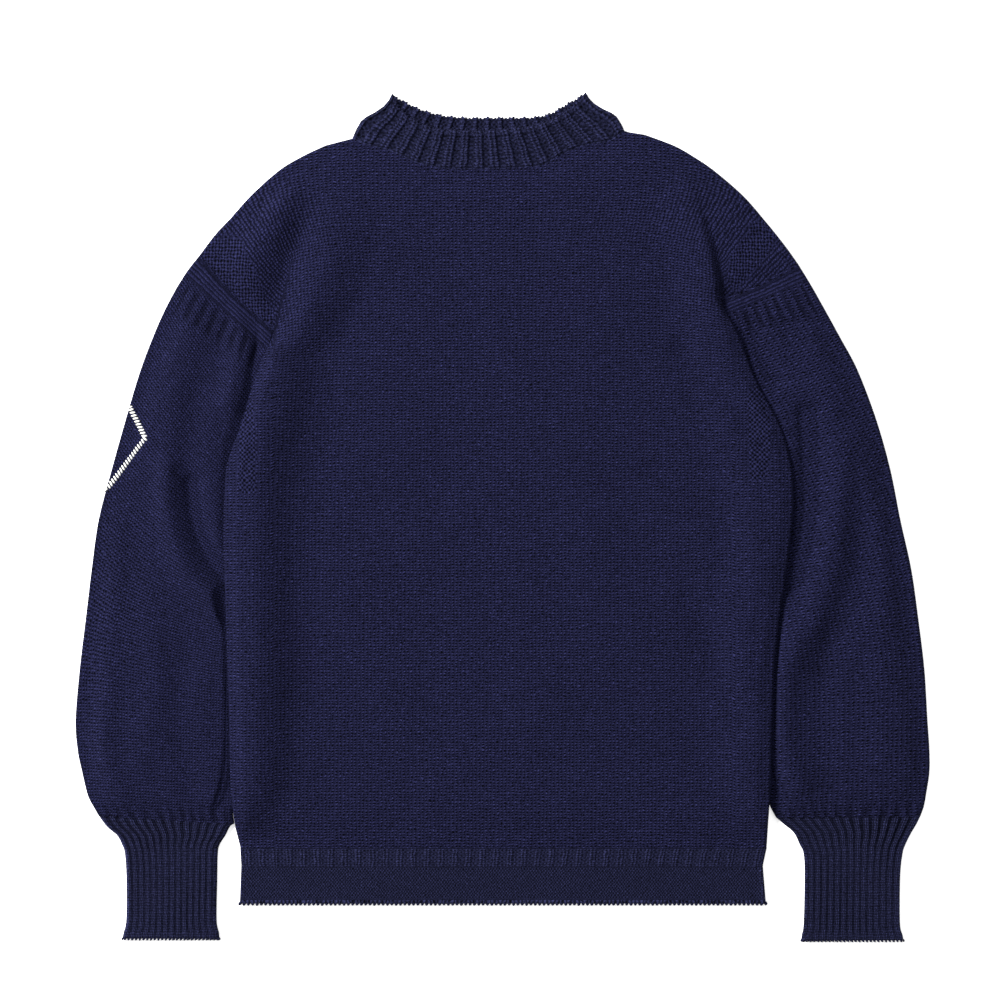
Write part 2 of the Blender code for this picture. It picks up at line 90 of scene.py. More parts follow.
# Front panel
# The front of the body, knitted plain in five-ply worsted from the rib band up to the shoulders.
# Its sides are folds over the tucked sleeves, and a patch of moss stitch lies beside each armhole seam.
WALL = 2.5
SEAM_GAP = 0.3
LAYERS = 2.0 * WALL + SEAM_GAP
WALE = 3.45
ROW = 2.67
FOLD_RADIUS = 2.9
SEAM_DIP = 0.4
SEAM_DIP_WIDTH = 1.8
SEAM_DIP_FADE = 8.0
EDGE_STEPS = (0.0, 0.35, 0.9, 1.6, 2.6, 3.8)
TOP_ROWS_LEFT = 4
SHOULDER_SLOPE = 0.8
SEAM_SLOPE = 0.7
FAR = 1000.0
FRONT_COLUMNS = 221
FRONT_ROWS_BELOW = 215
FRONT_ROWS_ABOVE = 40
INNER_EVERY = 5

# Sections of the body from the rib band up to the armhole seam's outer end:
# right side x, y, left side x, y, and how far the section bows up towards the neck
BODY_SECTIONS = (
    (-241.5, -305, 243.3, -305, 0),
    (-246.1, -283, 244.3, -279, 0),
    (-250, -240, 246.5, -240, 0),
    (-251, -190, 247.5, -190, 0),
    (-252.4, -140, 249.5, -140, 0),
    (-253.8, -95, 254, -95, 0),
    (-255.4, -55, 259.8, -55, 0.02),
    (-256.2, -15, 265, -15, 0.04),
    (-255.4, 20, 267.3, 18, 0.07),
    (-252.5, 50, 264.5, 50, 0.10),
    (-239.8, 85, 254, 85, 0.15),
    (-232, 112, 232.5, 125, 0.20),
    (-222.5, 140, 217, 165, 0.28),
    (-216.2, 155, 208.6, 182, 0.36),
    (-209.3, 171.6, 200.1, 199.2, 0.46),
    (-248.9, 206.5, 236.9, 213.9, 0.73),
    (-278.5, 241.5, 271.9, 233.2, 1),
)
ARMHOLE_CORNER = 14

# Shoulder folds outside the neck, and the neck seam in front and behind
RIGHT_SHOULDER = (
    (-278.5, 241.5), (-264, 260.5), (-251.6, 273.5), (-231.4, 296),
    (-205.6, 319), (-184, 332), (-163.3, 341.8),
)
LEFT_SHOULDER = (
    (131.1, 351.9), (157.8, 341.8), (176, 331.5), (194.6, 318.8),
    (221.3, 295.8), (241.5, 272.8), (260, 249.8), (271.9, 233.2),
)
NECK_FRONT = (
    (-138.5, 348.2), (-125.6, 341.8), (-109, 338.1), (-94.3, 332.6), (-77.7, 325.2),
    (-57.5, 320.6), (-34.5, 319.7), (-11.5, 319.7), (11.5, 320.6), (34.5, 322.5),
    (51.1, 330.7), (65.8, 338.1), (82.3, 342.7), (98.9, 345.5), (112.7, 354.7),
)
NECK_BACK = (
    (-138.5, 348.2), (-125.6, 344.5), (-109, 341.3), (-94.3, 337.8), (-77.7, 333.5),
    (-57.5, 330.2), (-34.5, 328.6), (-11.5, 328.2), (11.5, 328.6), (34.5, 330.2),
    (51.1, 335), (65.8, 340.3), (82.3, 344.2), (98.9, 347.8), (112.7, 354.7),
)

# The sleeves lift the body's sides: inner edge of each, from the armhole corner down
SLEEVE_LIFT = 7.8
LIFT_PLATEAU = 6.0
LIFT_SLOPE = 42.0
CORNER_RAMP = 24.0
HEM_Y = -305.0
LIFT_FADE = (-300.0, -272.0)
RIGHT_INNER_EDGE = (
    (-209.3, 171.6), (-213.5, 153.2), (-216.6, 138), (-218.5, 122), (-222, 95), (-231, 60),
    (-236, 25), (-236.5, -12), (-236, -58), (-235, -104), (-234, -150),
    (-234, -196), (-235, -226), (-238, -246), (-243, -262), (-248, -270),
    (-247, -282.9),
)
LEFT_INNER_EDGE = (
    (200.1, 199.2), (202.9, 181), (206, 167), (209.5, 148), (218, 112), (230, 74),
    (242.5, 38), (247, -6), (241, -52), (235, -98), (231, -144),
    (230, -190), (231, -224), (237, -246), (243, -259), (247.5, -269),
    (252.1, -277.4),
)

# Fold down each armhole, where the dropped shoulder hangs below the body. Foot of the fold and the
# width of its rise: y, right x, left x, right width, left width
FOLD_LINE = (
    (312, -179, 178, 30, 9), (249, -190, 196, 32, 8),
    (199.2, -202.9, 203, 31, 7), (171.6, -209.3, 212, 24, 6),
)
FOLD_HEIGHT = 9.0
FOLD_TOP_Y = 318.0
FOLD_INSIDE = 44.0
FOLD_SHARE_OF_BACK = 0.42
BODY_SLACK = 3.2
SLACK_MARGIN = 15.0
HEM_SLOPE = 0.4
GAP_MOST = 14.0

# Soft folds of the front: half width, height, then points along the fold
FRONT_FOLDS = (
    (30, 6.5, ((-205, 122), (-214, 80), (-219, 40), (-222, -40), (-222, -225))),
    (18, -1.4, ((-150, 170), (-160, 110), (-172, 20), (-176, -80), (-180, -170))),
    (17, 7.5, ((-204, 286), (-210, 270), (-222, 250), (-230, 232), (-237, 212))),
    (12, -3.4, ((-186, 262), (-196, 232), (-206, 205), (-212, 186))),
    (10, -3.2, ((163, 153), (192, 130), (209, 107), (226, 80))),
    (11, -2.2, ((136, 43), (172, 24), (209, -12))),
    (12, -2.6, ((172, -77), (200, -132), (216, -190))),
    (12, 1.6, ((196, 60), (222, 10), (236, -60))),
    (16, 3.2, ((216, 284), (238, 264), (258, 242))),
    (26, -1.2, ((-60, 280), (-30, 150), (-60, 20))),
    (24, 1, ((60, 270), (84, 160), (70, 40), (90, -90))),
    (22, -1, ((-90, -60), (-70, -180), (-96, -280))),
    (20, 0.9, ((10, -40), (30, -160), (12, -270))),
)
# Slow waves of the top layer: height, wave numbers across and up in radians for each mm, phase
BODY_WAVES = (
    (0.24, 0.031, 0.012, 0.4), (0.2, -0.017, 0.036, 1.9), (0.22, 0.055, 0.021, 4.1),
    (0.18, 0.043, -0.058, 2.7), (0.12, 0.090, 0.047, 0.9),
)

# Lean of the wales: they run along the armhole seam beside it and stand upright towards the chest
SEAM_LEAN = {1: math.radians(45.0), -1: math.radians(50.0)}
LEAN_FLAT = 22.0
LEAN_REACH = 125.0
RIDGE_LEAN = math.radians(13.0)
RIDGE_LEAN_REACH = 75.0
LEAN_BLEND_Y = (236.0, 300.0)
MOSS_RIGHT = (
    (-275.5, 248.9), (-263.6, 258.1), (-241.5, 256.2), (-230.5, 234.1), (-220.3, 208.4),
    (-208.4, 182.6), (-212.1, 175.3), (-236, 193.7), (-261.7, 221.3), (-278.3, 241.5),
)
MOSS_LEFT = (
    (229.5, 270.9), (238.7, 270.9), (251.6, 254.4), (246.1, 243.3), (227.7, 220.3),
    (214.8, 206.5), (206.5, 217.6), (210.2, 240.6), (222.2, 256.2),
)
MOSS_TIGHTER = (1.6, 1.25)
STRETCHED_LEAN = math.radians(30.0)
STITCH_WANDER = 1.3
STITCH_DEPTH = 0.6
GUSSET_RIGHT = ((-240, 98), (-229, 108), (-224, 70), (-226, 20), (-241, 22), (-243, 60))
GUSSET_LEFT = ((224, 112), (234, 124), (243, 104), (247, 80), (246, 56), (242, 34), (226, 33))
SOLVER_ROUNDS = 700
LOOSE_TIE = 1e-4
SHARP_ANGLE = math.radians(62.0)
# How far the knitting stands out from the faces of the solids
SKIN = 0.05
FRONT_SKIN = 0.12


def smooth(t):
    """0 to 1 with level ends."""
    t = np.clip(t, 0.0, 1.0)
    return t * t * (3.0 - 2.0 * t)


def fade(value, start, end):
    """0 at the start of a range and 1 at its end, with level ends."""
    return smooth((value - start) / (end - start))


def curve(points, steps):
    """A smooth curve through a line of points, with so many steps between each two."""
    points = np.asarray(points, float)
    line = np.vstack((2.0 * points[0] - points[1], points, 2.0 * points[-1] - points[-2]))
    t = (np.arange(steps) / steps)[:, None]
    spans = []
    for a, b, c, d in zip(line, line[1:], line[2:], line[3:]):
        spans.append(b + 0.5 * t * (c - a + t * (2 * a - 5 * b + 4 * c - d + t * (3 * (b - c) + d - a))))
    return np.vstack(spans + [points[-1:]])


def run(line):
    """Distance along a line at each of its points."""
    steps = np.linalg.norm(np.diff(line, axis=0), axis=1)
    return np.concatenate(([0.0], np.cumsum(steps)))


def even(line, count):
    """The same line as so many points that are evenly spaced."""
    place = run(line)
    at = np.linspace(0.0, place[-1], count)
    return np.stack([np.interp(at, place, column) for column in np.asarray(line).T], axis=1)


def distance_to_line(x, y, line):
    """Distance of plan points from a bent line."""
    best = np.full(np.shape(x), np.inf)
    for (ax, ay), (bx, by) in zip(line[:-1], line[1:]):
        dx = bx - ax
        dy = by - ay
        along = np.clip(((x - ax) * dx + (y - ay) * dy) / (dx * dx + dy * dy), 0.0, 1.0)
        best = np.minimum(best, np.hypot(x - ax - along * dx, y - ay - along * dy))
    return best


def fold_height(x, y, folds):
    """Height that soft folds add at plan points, fading out towards each fold's ends."""
    height = np.zeros(np.shape(x))
    for half_width, peak, line in folds:
        points = curve(line, 6)
        height += peak * np.exp(-(distance_to_line(x, y, points) / half_width) ** 2)
    return height


def waves(x, y, table):
    """Slow uneven waves of a layer of cloth."""
    height = np.zeros(np.shape(x))
    for peak, across, up, phase in table:
        height += peak * np.sin(across * x + up * y + phase)
    return height


def sleeve_lift(x, y):
    """How far a tucked sleeve lifts the body."""
    lift = np.zeros(np.shape(x))
    for side, edge in ((1, RIGHT_INNER_EDGE), (-1, LEFT_INNER_EDGE)):
        edge_x, edge_y = np.array(edge[::-1]).T
        inside = side * (x - np.interp(y, edge_y, edge_x))
        across = 1.0 - smooth((inside - LIFT_PLATEAU) / LIFT_SLOPE)
        below_corner = smooth((edge[0][1] - y) / CORNER_RAMP)
        above_hem = fade(y, *LIFT_FADE)
        lift = np.maximum(lift, SLEEVE_LIFT * across * below_corner * above_hem)
    return lift


def inside_fold(x, y, side):
    """Distance from the foot of an armhole's fold towards the chest."""
    line_y, right_x, left_x = np.array(FOLD_LINE[::-1]).T[:3]
    return side * (x - np.interp(y, line_y, right_x if side > 0 else left_x))


def armhole_fold(x, y):
    """Height of the fold where the shoulder drops beside the body."""
    height = np.zeros(np.shape(x))
    line_y, _, _, right_width, left_width = np.array(FOLD_LINE[::-1]).T
    for side, width, corner_y in (
        (1, right_width, RIGHT_INNER_EDGE[0][1]), (-1, left_width, LEFT_INNER_EDGE[0][1]),
    ):
        inside = inside_fold(x, y, side)
        rise = np.interp(y, line_y, width)
        across = smooth(inside / rise) * (1.0 - smooth((inside - rise) / FOLD_INSIDE))
        above = smooth((FOLD_TOP_Y - y) / (FOLD_TOP_Y - corner_y))
        below = 1.0 - smooth((corner_y - y) / CORNER_RAMP)
        height = np.maximum(height, FOLD_HEIGHT * across * np.where(y > corner_y, np.sqrt(above), below))
    return height


def inside_polygon(x, y, corners):
    """1 inside a patch given by its corners, 0 outside."""
    found = np.zeros(np.shape(x), bool)
    for (ax, ay), (bx, by) in zip(corners, corners[1:] + corners[:1]):
        crosses = (ay > y) != (by > y)
        found ^= crosses & (x < ax + (y - ay) / ((by - ay) or 1.0) * (bx - ax))
    return found.astype(float)


def beside_seam(x, y, corner, end):
    """Distance into the body from the straight line of an armhole seam."""
    length = math.hypot(end[0] - corner[0], end[1] - corner[1])
    along_x = (end[0] - corner[0]) / length
    along_y = (end[1] - corner[1]) / length
    side = 1.0 if along_x < 0.0 else -1.0
    return side * ((x - corner[0]) * along_y - (y - corner[1]) * along_x)


def body_plan(neck, rows_below, rows_above, columns):
    """Plan points of a body panel, closer together at its sides and its top."""
    top = np.vstack((curve(RIGHT_SHOULDER, 8), curve(neck, 8), curve(LEFT_SHOULDER, 8)))
    width = top[-1, 0] - top[0, 0]
    close = np.array(EDGE_STEPS) / width
    between = np.linspace(close[-1], 1.0 - close[-1], columns)[1:-1]
    share = np.concatenate((close, between, 1.0 - close[::-1]))
    top_share = (top[:, 0] - top[0, 0]) / width
    rise = np.interp(share, top_share, top[:, 1]) - top[0, 1] - share * (top[-1, 1] - top[0, 1])
    below = even(curve(BODY_SECTIONS[:ARMHOLE_CORNER + 1], 8), rows_below)
    above = even(np.array(BODY_SECTIONS[ARMHOLE_CORNER:]), rows_above)
    sections = np.vstack((below[:-1], above))
    right_x, right_y, left_x, left_y, bow = sections.T[:, :, None]
    x = right_x + share * (left_x - right_x)
    y = right_y + share * (left_y - right_y) + bow * rise
    edge = np.array(EDGE_STEPS)[:0:-1, None]
    fall = np.hypot(x[-1] - x[-2], y[-1] - y[-2])
    top_x = x[-1] + edge * (x[-2] - x[-1]) / fall
    top_y = y[-1] + edge * (y[-2] - y[-1]) / fall
    keep = len(x) - TOP_ROWS_LEFT
    return np.vstack((x[:keep], top_x, x[-1:])), np.vstack((y[:keep], top_y, y[-1:]))


def edge_distances(x, y, neck):
    """Distance from a panel's sides, and from its shoulder folds, which leave out the neck."""
    side = np.minimum(np.abs(x - x[:, :1]), np.abs(x[:, -1:] - x))
    shoulder = SHOULDER_SLOPE * np.hypot(x - x[-1], y - y[-1])
    at_neck = (x[-1] > neck[0][0]) & (x[-1] < neck[-1][0])
    return side, np.where(at_neck, FAR, shoulder)


def rounded(distance, radius=FOLD_RADIUS):
    """Share of a layer's thickness that is left at a distance from the edge that it turns round."""
    inward = 1.0 - np.clip(distance / radius, 0.0, 1.0)
    return np.sqrt(np.maximum(1.0 - inward * inward, 0.0))


def wale_lean(x, y):
    """Lean of the wales, positive towards the garment's right, and what hangs outside the folds."""
    lean = np.zeros(np.shape(x))
    outside = np.zeros(np.shape(x), bool)
    for side, corner, end in (
        (1, BODY_SECTIONS[ARMHOLE_CORNER][:2], BODY_SECTIONS[-1][:2]),
        (-1, BODY_SECTIONS[ARMHOLE_CORNER][2:4], BODY_SECTIONS[-1][2:4]),
    ):
        away = beside_seam(x, y, corner, end)
        inside = inside_fold(x, y, side)
        dropped = SEAM_LEAN[side] * (1.0 - smooth((away - LEAN_FLAT) / LEAN_REACH))
        chest = np.minimum(RIDGE_LEAN * (1.0 - smooth(inside / RIDGE_LEAN_REACH)), dropped)
        joined = fade(y, *LEAN_BLEND_Y)
        within = chest + joined * (dropped - chest)
        above = smooth((y - corner[1] + CORNER_RAMP) / CORNER_RAMP)
        half = side * x < 0.0
        lean += np.where(half, side * above * np.where(inside < 0.0, dropped, within), 0.0)
        outside |= half & (inside < 0.0)
    return lean, outside


def lay_stitches(x, y, lean, outside=None):
    """Wale and row coordinates in millimetres whose steps from point to point best follow the lean.

    Low steps that cross the edge of the part outside a fold are left free, because the cloth doubles there.
    """
    place = x + 1j * y
    turn = np.exp(-1j * lean)
    across = np.diff(place, axis=1) * 0.5 * (turn[:, 1:] + turn[:, :-1])
    up = np.diff(place, axis=0) * 0.5 * (turn[1:] + turn[:-1])
    tie_across = np.ones(across.shape)
    tie_up = np.ones(up.shape)
    if outside is not None:
        low = y < LEAN_BLEND_Y[0]
        tie_across[(outside[:, 1:] != outside[:, :-1]) & low[:, 1:]] = LOOSE_TIE
        tie_up[(outside[1:] != outside[:-1]) & low[1:]] = LOOSE_TIE

    def gather(flow_across, flow_up):
        total = np.zeros(x.shape, complex)
        total[:, 1:] += tie_across * flow_across
        total[:, :-1] -= tie_across * flow_across
        total[1:] += tie_up * flow_up
        total[:-1] -= tie_up * flow_up
        return total

    laid = place.copy()
    rest = gather(across - np.diff(laid, axis=1), up - np.diff(laid, axis=0))
    way = rest.copy()
    size = np.vdot(rest, rest).real
    for _ in range(SOLVER_ROUNDS):
        pull = gather(np.diff(way, axis=1), np.diff(way, axis=0))
        step = size / np.vdot(way, pull).real
        laid += step * way
        rest -= step * pull
        new_size = np.vdot(rest, rest).real
        way = rest + new_size / size * way
        size = new_size
    return laid.real, laid.imag


def zip_rim(fine, coarse):
    """Triangles between a fine edge and the coarser edge beside it."""
    every = (len(fine) - 1) // (len(coarse) - 1)
    faces = []
    for i in range(len(fine) - 1):
        near = (2 * i + every) // (2 * every)
        far = (2 * i + 2 + every) // (2 * every)
        faces.append((fine[i], fine[i + 1], coarse[near]))
        if far != near:
            faces.append((fine[i + 1], coarse[far], coarse[near]))
    return faces


def knitting(name, outer, inner, stitches, kinds_and_shade, every, closed=False):
    """A thin closed shell of knitting from rows of points in millimetres.

    outer and inner are rows x columns x 3, and every says how many fine steps make a coarse one inside.
    stitches counts wales and rows at each point; kinds is its share of moss and of garter, then painted
    shade: how much its colour is darkened where it lies in a groove.
    """
    inner = inner[::every, ::every]
    skins = []
    start = 0
    faces = []
    for skin in (outer, inner):
        rows, columns = skin.shape[:2]
        index = start + np.arange(rows * columns).reshape(rows, columns)
        if closed:
            index = np.concatenate((index, index[:, :1]), axis=1)
        corners = (index[:-1, :-1], index[:-1, 1:], index[1:, 1:], index[1:, :-1])
        faces += np.stack(corners, axis=-1).reshape(-1, 4).tolist()
        skins.append(index)
        start += rows * columns
    fine, coarse = skins
    for row in (0, -1):
        faces += zip_rim(fine[row].tolist(), coarse[row].tolist())
    if not closed:
        for column in (0, -1):
            faces += zip_rim(fine[:, column].tolist(), coarse[:, column].tolist())
    points = np.vstack((outer.reshape(-1, 3), inner.reshape(-1, 3))) * MM
    mesh = bpy.data.meshes.new(name)
    mesh.from_pydata(points.tolist(), [], faces)
    for label, values in (("stitches", stitches), ("kinds_and_shade", kinds_and_shade)):
        values = np.stack(np.broadcast_arrays(*values), axis=-1)
        flat = np.vstack((values.reshape(-1, 3), values[::every, ::every].reshape(-1, 3)))
        layer = mesh.attributes.new(label, "FLOAT_VECTOR", "POINT")
        layer.data.foreach_set("vector", flat.astype(np.float32).ravel())
    shell = bmesh.new()
    shell.from_mesh(mesh)
    bmesh.ops.recalc_face_normals(shell, faces=shell.faces)
    shell.to_mesh(mesh)
    shell.free()
    mesh.shade_smooth()
    mesh.set_sharp_from_angle(angle=SHARP_ANGLE)
    return put(name, mesh)


def feed(tree, node, inputs):
    """Give each of these inputs of a node its value or its link."""
    for name, value in inputs.items():
        if isinstance(value, bpy.types.NodeSocket):
            tree.links.new(value, node.inputs[name])
        else:
            node.inputs[name].default_value = value


def add(tree, kind, inputs=None, **settings):
    """A new node with its settings and its inputs."""
    made = tree.nodes.new(kind)
    for name, value in settings.items():
        setattr(made, name, value)
    feed(tree, made, inputs or {})
    return made


def maths(tree, operation, *values):
    """The result of one Math node on sockets or plain numbers."""
    return add(tree, "ShaderNodeMath", dict(enumerate(values)), operation=operation).outputs["Value"]


def blend(tree, share, low, high):
    """low where share is 0, high where it is 1."""
    return add(tree, "ShaderNodeMix", {0: share, 2: low, 3: high}, data_type="FLOAT").outputs["Result"]


def wool(tree, shade_and_tone, shade_colour, light, height, strength, depth):
    """Wool's dull surface, with relief, and with colours between a painted shade colour and the light
    colour, picked by a mix of the yarn's own tone and painted shade.
    """
    ramp = add(tree, "ShaderNodeValToRGB", {"Fac": shade_and_tone})
    ramp.color_ramp.elements[0].color = (*shade_colour, 1.0)
    ramp.color_ramp.elements[1].color = (*light, 1.0)
    relief = add(tree, "ShaderNodeBump", {"Height": height, "Strength": strength, "Distance": depth * MM})
    feed(tree, tree.nodes["Principled BSDF"], {
        "Base Color": ramp.outputs["Color"], "Normal": relief.outputs["Normal"],
        "Roughness": 0.9, "Specular IOR Level": 0.03,
    })


def worsted(name, shadow, light):
    """Knitted navy worsted: stitch loops in relief, and in colour from the stitches laid on the piece, with
    painted shade darkening the hollows between loops and the rib grooves towards the shadow colour.
    """
    material = bpy.data.materials.new(name)
    material.use_nodes = True
    tree = material.node_tree

    def times(first, second):
        return maths(tree, "MULTIPLY", first, second)

    def scaled(value, factor, more):
        return maths(tree, "MULTIPLY_ADD", value, factor, more)

    def wave(operation, value, turns):
        return maths(tree, operation, times(value, turns * 2.0 * math.pi))

    def noise(scale, detail):
        return add(tree, "ShaderNodeTexNoise", {"Vector": where, "Scale": scale, "Detail": detail}).outputs

    laid = add(tree, "ShaderNodeAttribute", attribute_name="stitches").outputs["Vector"]
    kinds_and_shade = add(tree, "ShaderNodeAttribute", attribute_name="kinds_and_shade").outputs["Vector"]
    wale, row, stretch = add(tree, "ShaderNodeSeparateXYZ", {"Vector": laid}).outputs
    moss, garter, groove = add(tree, "ShaderNodeSeparateXYZ", {"Vector": kinds_and_shade}).outputs
    where = add(tree, "ShaderNodeTexCoord").outputs["Object"]
    shift = add(tree, "ShaderNodeSeparateColor", {"Color": noise(210.0, 2.0)["Color"]}).outputs
    wale = maths(tree, "ADD", wale, scaled(shift[0], STITCH_WANDER, -0.5 * STITCH_WANDER))
    row = maths(tree, "ADD", row, scaled(shift[1], STITCH_WANDER, -0.5 * STITCH_WANDER))

    # Plain stitch: two legs that lean away from the middle of each wale. Rows show where the cloth is
    # slack, and the lines between the wales show where it is stretched
    half = maths(tree, "ABSOLUTE", maths(tree, "SUBTRACT", maths(tree, "FRACT", wale), 0.5))
    legs = wave("COSINE", half, 1.0)
    loop = wave("COSINE", maths(tree, "SUBTRACT", row, times(half, 0.9)), 1.0)
    twist = wave("COSINE", maths(tree, "ADD", row, wale), 1.0)
    slack = times(scaled(twist, 0.48, scaled(loop, 0.6, 0.44)), scaled(legs, 0.14, 0.86))
    taut = times(scaled(legs, 0.48, 0.6), scaled(loop, 0.32, 0.68))
    plain = maths(tree, "MAXIMUM", blend(tree, stretch, slack, taut), 0.0)

    # Moss stitch: bumps set like a chequer; garter stitch: ridges of bumps every second row
    bumps = times(wave("SINE", wale, 0.5 * MOSS_TIGHTER[0]), wave("SINE", row, 0.5 * MOSS_TIGHTER[1]))
    chequer = maths(tree, "MAXIMUM", scaled(bumps, 0.6, 0.38), 0.0)
    ridge = times(scaled(wave("COSINE", row, 0.5), 0.5, 0.5), scaled(wave("COSINE", wale, 1.0), 0.2, 0.8))
    height = blend(tree, garter, blend(tree, moss, plain, chequer), ridge)

    # Colour: painted shade from the stitch height in the hollows between loops, and from the groove share
    # in rib grooves; then the yarn itself, each stitch a little lighter or darker, single fibres, and slow
    # shifts of the dye
    count = {"X": maths(tree, "FLOOR", wale), "Y": maths(tree, "FLOOR", row)}
    stitch = {"Vector": add(tree, "ShaderNodeCombineXYZ", count).outputs["Vector"]}
    speckle = add(tree, "ShaderNodeTexWhiteNoise", stitch, noise_dimensions="2D").outputs["Value"]
    shade_and_tone = times(height, scaled(groove, -0.75, 1.0))
    shade_and_tone = times(shade_and_tone, scaled(speckle, 0.3, 0.85))
    shade_and_tone = times(shade_and_tone, scaled(noise(950.0, 2.0)["Fac"], 3.0, -0.5))
    shade_and_tone = times(shade_and_tone, scaled(noise(22.0, 3.0)["Fac"], 0.16, 0.92))
    wool(tree, times(shade_and_tone, 0.5), shadow, light, height, 0.85, STITCH_DEPTH)
    feed(tree, tree.nodes["Principled BSDF"], {
        "Sheen Weight": 0.03, "Sheen Roughness": 0.5, "Sheen Tint": (0.42, 0.45, 0.9, 1.0),
    })
    return material


def body_levels(x, y, neck):
    """Middle level between the two panels, share of a layer left at the folds, and the seam's groove."""
    side_away, shoulder_away = edge_distances(x, y, neck)
    middle = WALL + sleeve_lift(x, y) + FOLD_SHARE_OF_BACK * armhole_fold(x, y)
    corner_y = np.where(x < 0.0, RIGHT_INNER_EDGE[0][1], LEFT_INNER_EDGE[0][1])
    below_corner = smooth((corner_y - y) / SEAM_DIP_FADE)
    folded_side = 1.0 - below_corner * (1.0 - rounded(side_away))
    turn = np.minimum(folded_side, rounded(shoulder_away))
    seam_away = np.where(y > corner_y, SEAM_SLOPE * side_away, FAR)
    return middle, turn, SEAM_DIP * np.exp(-((seam_away / SEAM_DIP_WIDTH) ** 2)), side_away, shoulder_away


def panel_stitches(x, y):
    """Wales, rows and stretch at each point of a body panel."""
    lean, outside = wale_lean(x, y)
    wale_x, row_y = lay_stitches(x, y, lean, outside)
    return wale_x / WALE, row_y / ROW, smooth(np.abs(lean) / STRETCHED_LEAN)


x, y = body_plan(NECK_FRONT, FRONT_ROWS_BELOW, FRONT_ROWS_ABOVE, FRONT_COLUMNS)
level, turn, seam_dip, side_away, shoulder_away = body_levels(x, y, NECK_FRONT)
ends_away = np.minimum(HEM_SLOPE * (y - HEM_Y), 0.5 * (y[-1] - y))
margin = np.minimum(np.minimum(side_away, shoulder_away), ends_away)
loose = BODY_SLACK + fold_height(x, y, FRONT_FOLDS) + waves(x, y, BODY_WAVES)
slack = np.maximum(loose, 0.0) * smooth(margin / SLACK_MARGIN)
gap = GAP_MOST * np.tanh(((1.0 - FOLD_SHARE_OF_BACK) * armhole_fold(x, y) + slack) / GAP_MOST)
inner_z = level + SEAM_GAP * turn + gap * turn
outer_z = inner_z + SKIN + (WALL + FRONT_SKIN) * turn - seam_dip

moss = sum(inside_polygon(x, y, patch) for patch in (MOSS_RIGHT, MOSS_LEFT, GUSSET_RIGHT, GUSSET_LEFT))

# First colour: painted shade in the hollows between loops; second: the wool's light colour on the loop tops
body_wool = worsted("navy_worsted", (0.0003, 0.0003, 0.0011), (0.0320, 0.0340, 0.1130))
front_panel = knitting(
    "front_panel_knitting",
    np.stack((x, y, outer_z), axis=-1),
    np.stack((x, y, inner_z), axis=-1),
    panel_stitches(x, y),
    (moss, 0.0, 0.0),
    INNER_EVERY,
)
front_panel.data.materials.append(body_wool)
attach(front_panel, "root")
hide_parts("front_panel")

# Back panel
# The back of the body, knitted like the front and cut higher at the neck. It lies flat on the ground.
# Its sides rise over the sleeves and meet the front along the folds.
BACK_COLUMNS = 111
BACK_ROWS_BELOW = 105
BACK_ROWS_ABOVE = 20
BACK_INSIDE = 0.04

x, y = body_plan(NECK_BACK, BACK_ROWS_BELOW, BACK_ROWS_ABOVE, BACK_COLUMNS)
level, turn, seam_dip, side_away, shoulder_away = body_levels(x, y, NECK_BACK)
moss = inside_polygon(x, y, MOSS_RIGHT) + inside_polygon(x, y, MOSS_LEFT)
back_panel = knitting(
    "back_panel_knitting",
    np.stack((x, y, level - SKIN - (WALL - SKIN) * turn), axis=-1),
    np.stack((x, y, level - BACK_INSIDE), axis=-1),
    panel_stitches(x, y),
    (moss, 0.0, 0.0),
    INNER_EVERY,
)
back_panel.data.materials.append(body_wool)
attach(back_panel, "root")
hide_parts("back_panel")

# Welts
# Each panel ends in a short band of ribs and a moss-stitch welt with a chain edge, knitted in one.
# The welts are split at the sides, where a slipped stitch keeps their edges straight.
RIB_BAND_TOP = -305.05
RIB_BAND_HEAD = (RIB_BAND_TOP, RIB_BAND_TOP - 1.5)
RIB_BAND_FOOT = (-324.5, -320.5)
WELT_EDGE = -356.3
WELT_SIDES_Y = (-357.0, -321.5, -305.0)
WELT_RIGHT_X = (-241.9, -240.6, -241.5)
WELT_LEFT_X = (242.6, 239.7, 243.3)
WELT_RIBS = 38
WELT_RIB_SHARE = 0.36
WELT_COLUMNS = 541
WELT_ROWS = 61
WELT_WALE = 2.25
WELT_ROW = 2.15
WELT_EDGE_ROUND = 2.2
CHAIN_HIGH = 4.8
SIDE_CHAIN_WIDE = 4.0
CHAIN_FADE = 1.2
CHAIN_RISE = 0.8
CHAIN_PITCH = 3.7
# Cast-on loops of a welt: a point of their path for so many columns, its level, then spacing, size,
# slant and unevenness
CHAIN_EVERY = 6
CHAIN_LEVEL = 1.3
CHAIN_LOOPS = (4.0, (3.7, 3.0, 2.4), 0.7, 0.5)
MOSS_RELIEF = 0.34
RIB_RELIEF = 0.6


def rib_crest(phase, knit_share):
    """1 on a rib's knit wales and 0 in the purl groove beside it, from the count of ribs."""
    wave = 0.5 + 0.5 * np.cos(2.0 * np.pi * (phase - 0.5))
    return smooth((wave - 0.5 + 0.5 * knit_share) / 0.5)


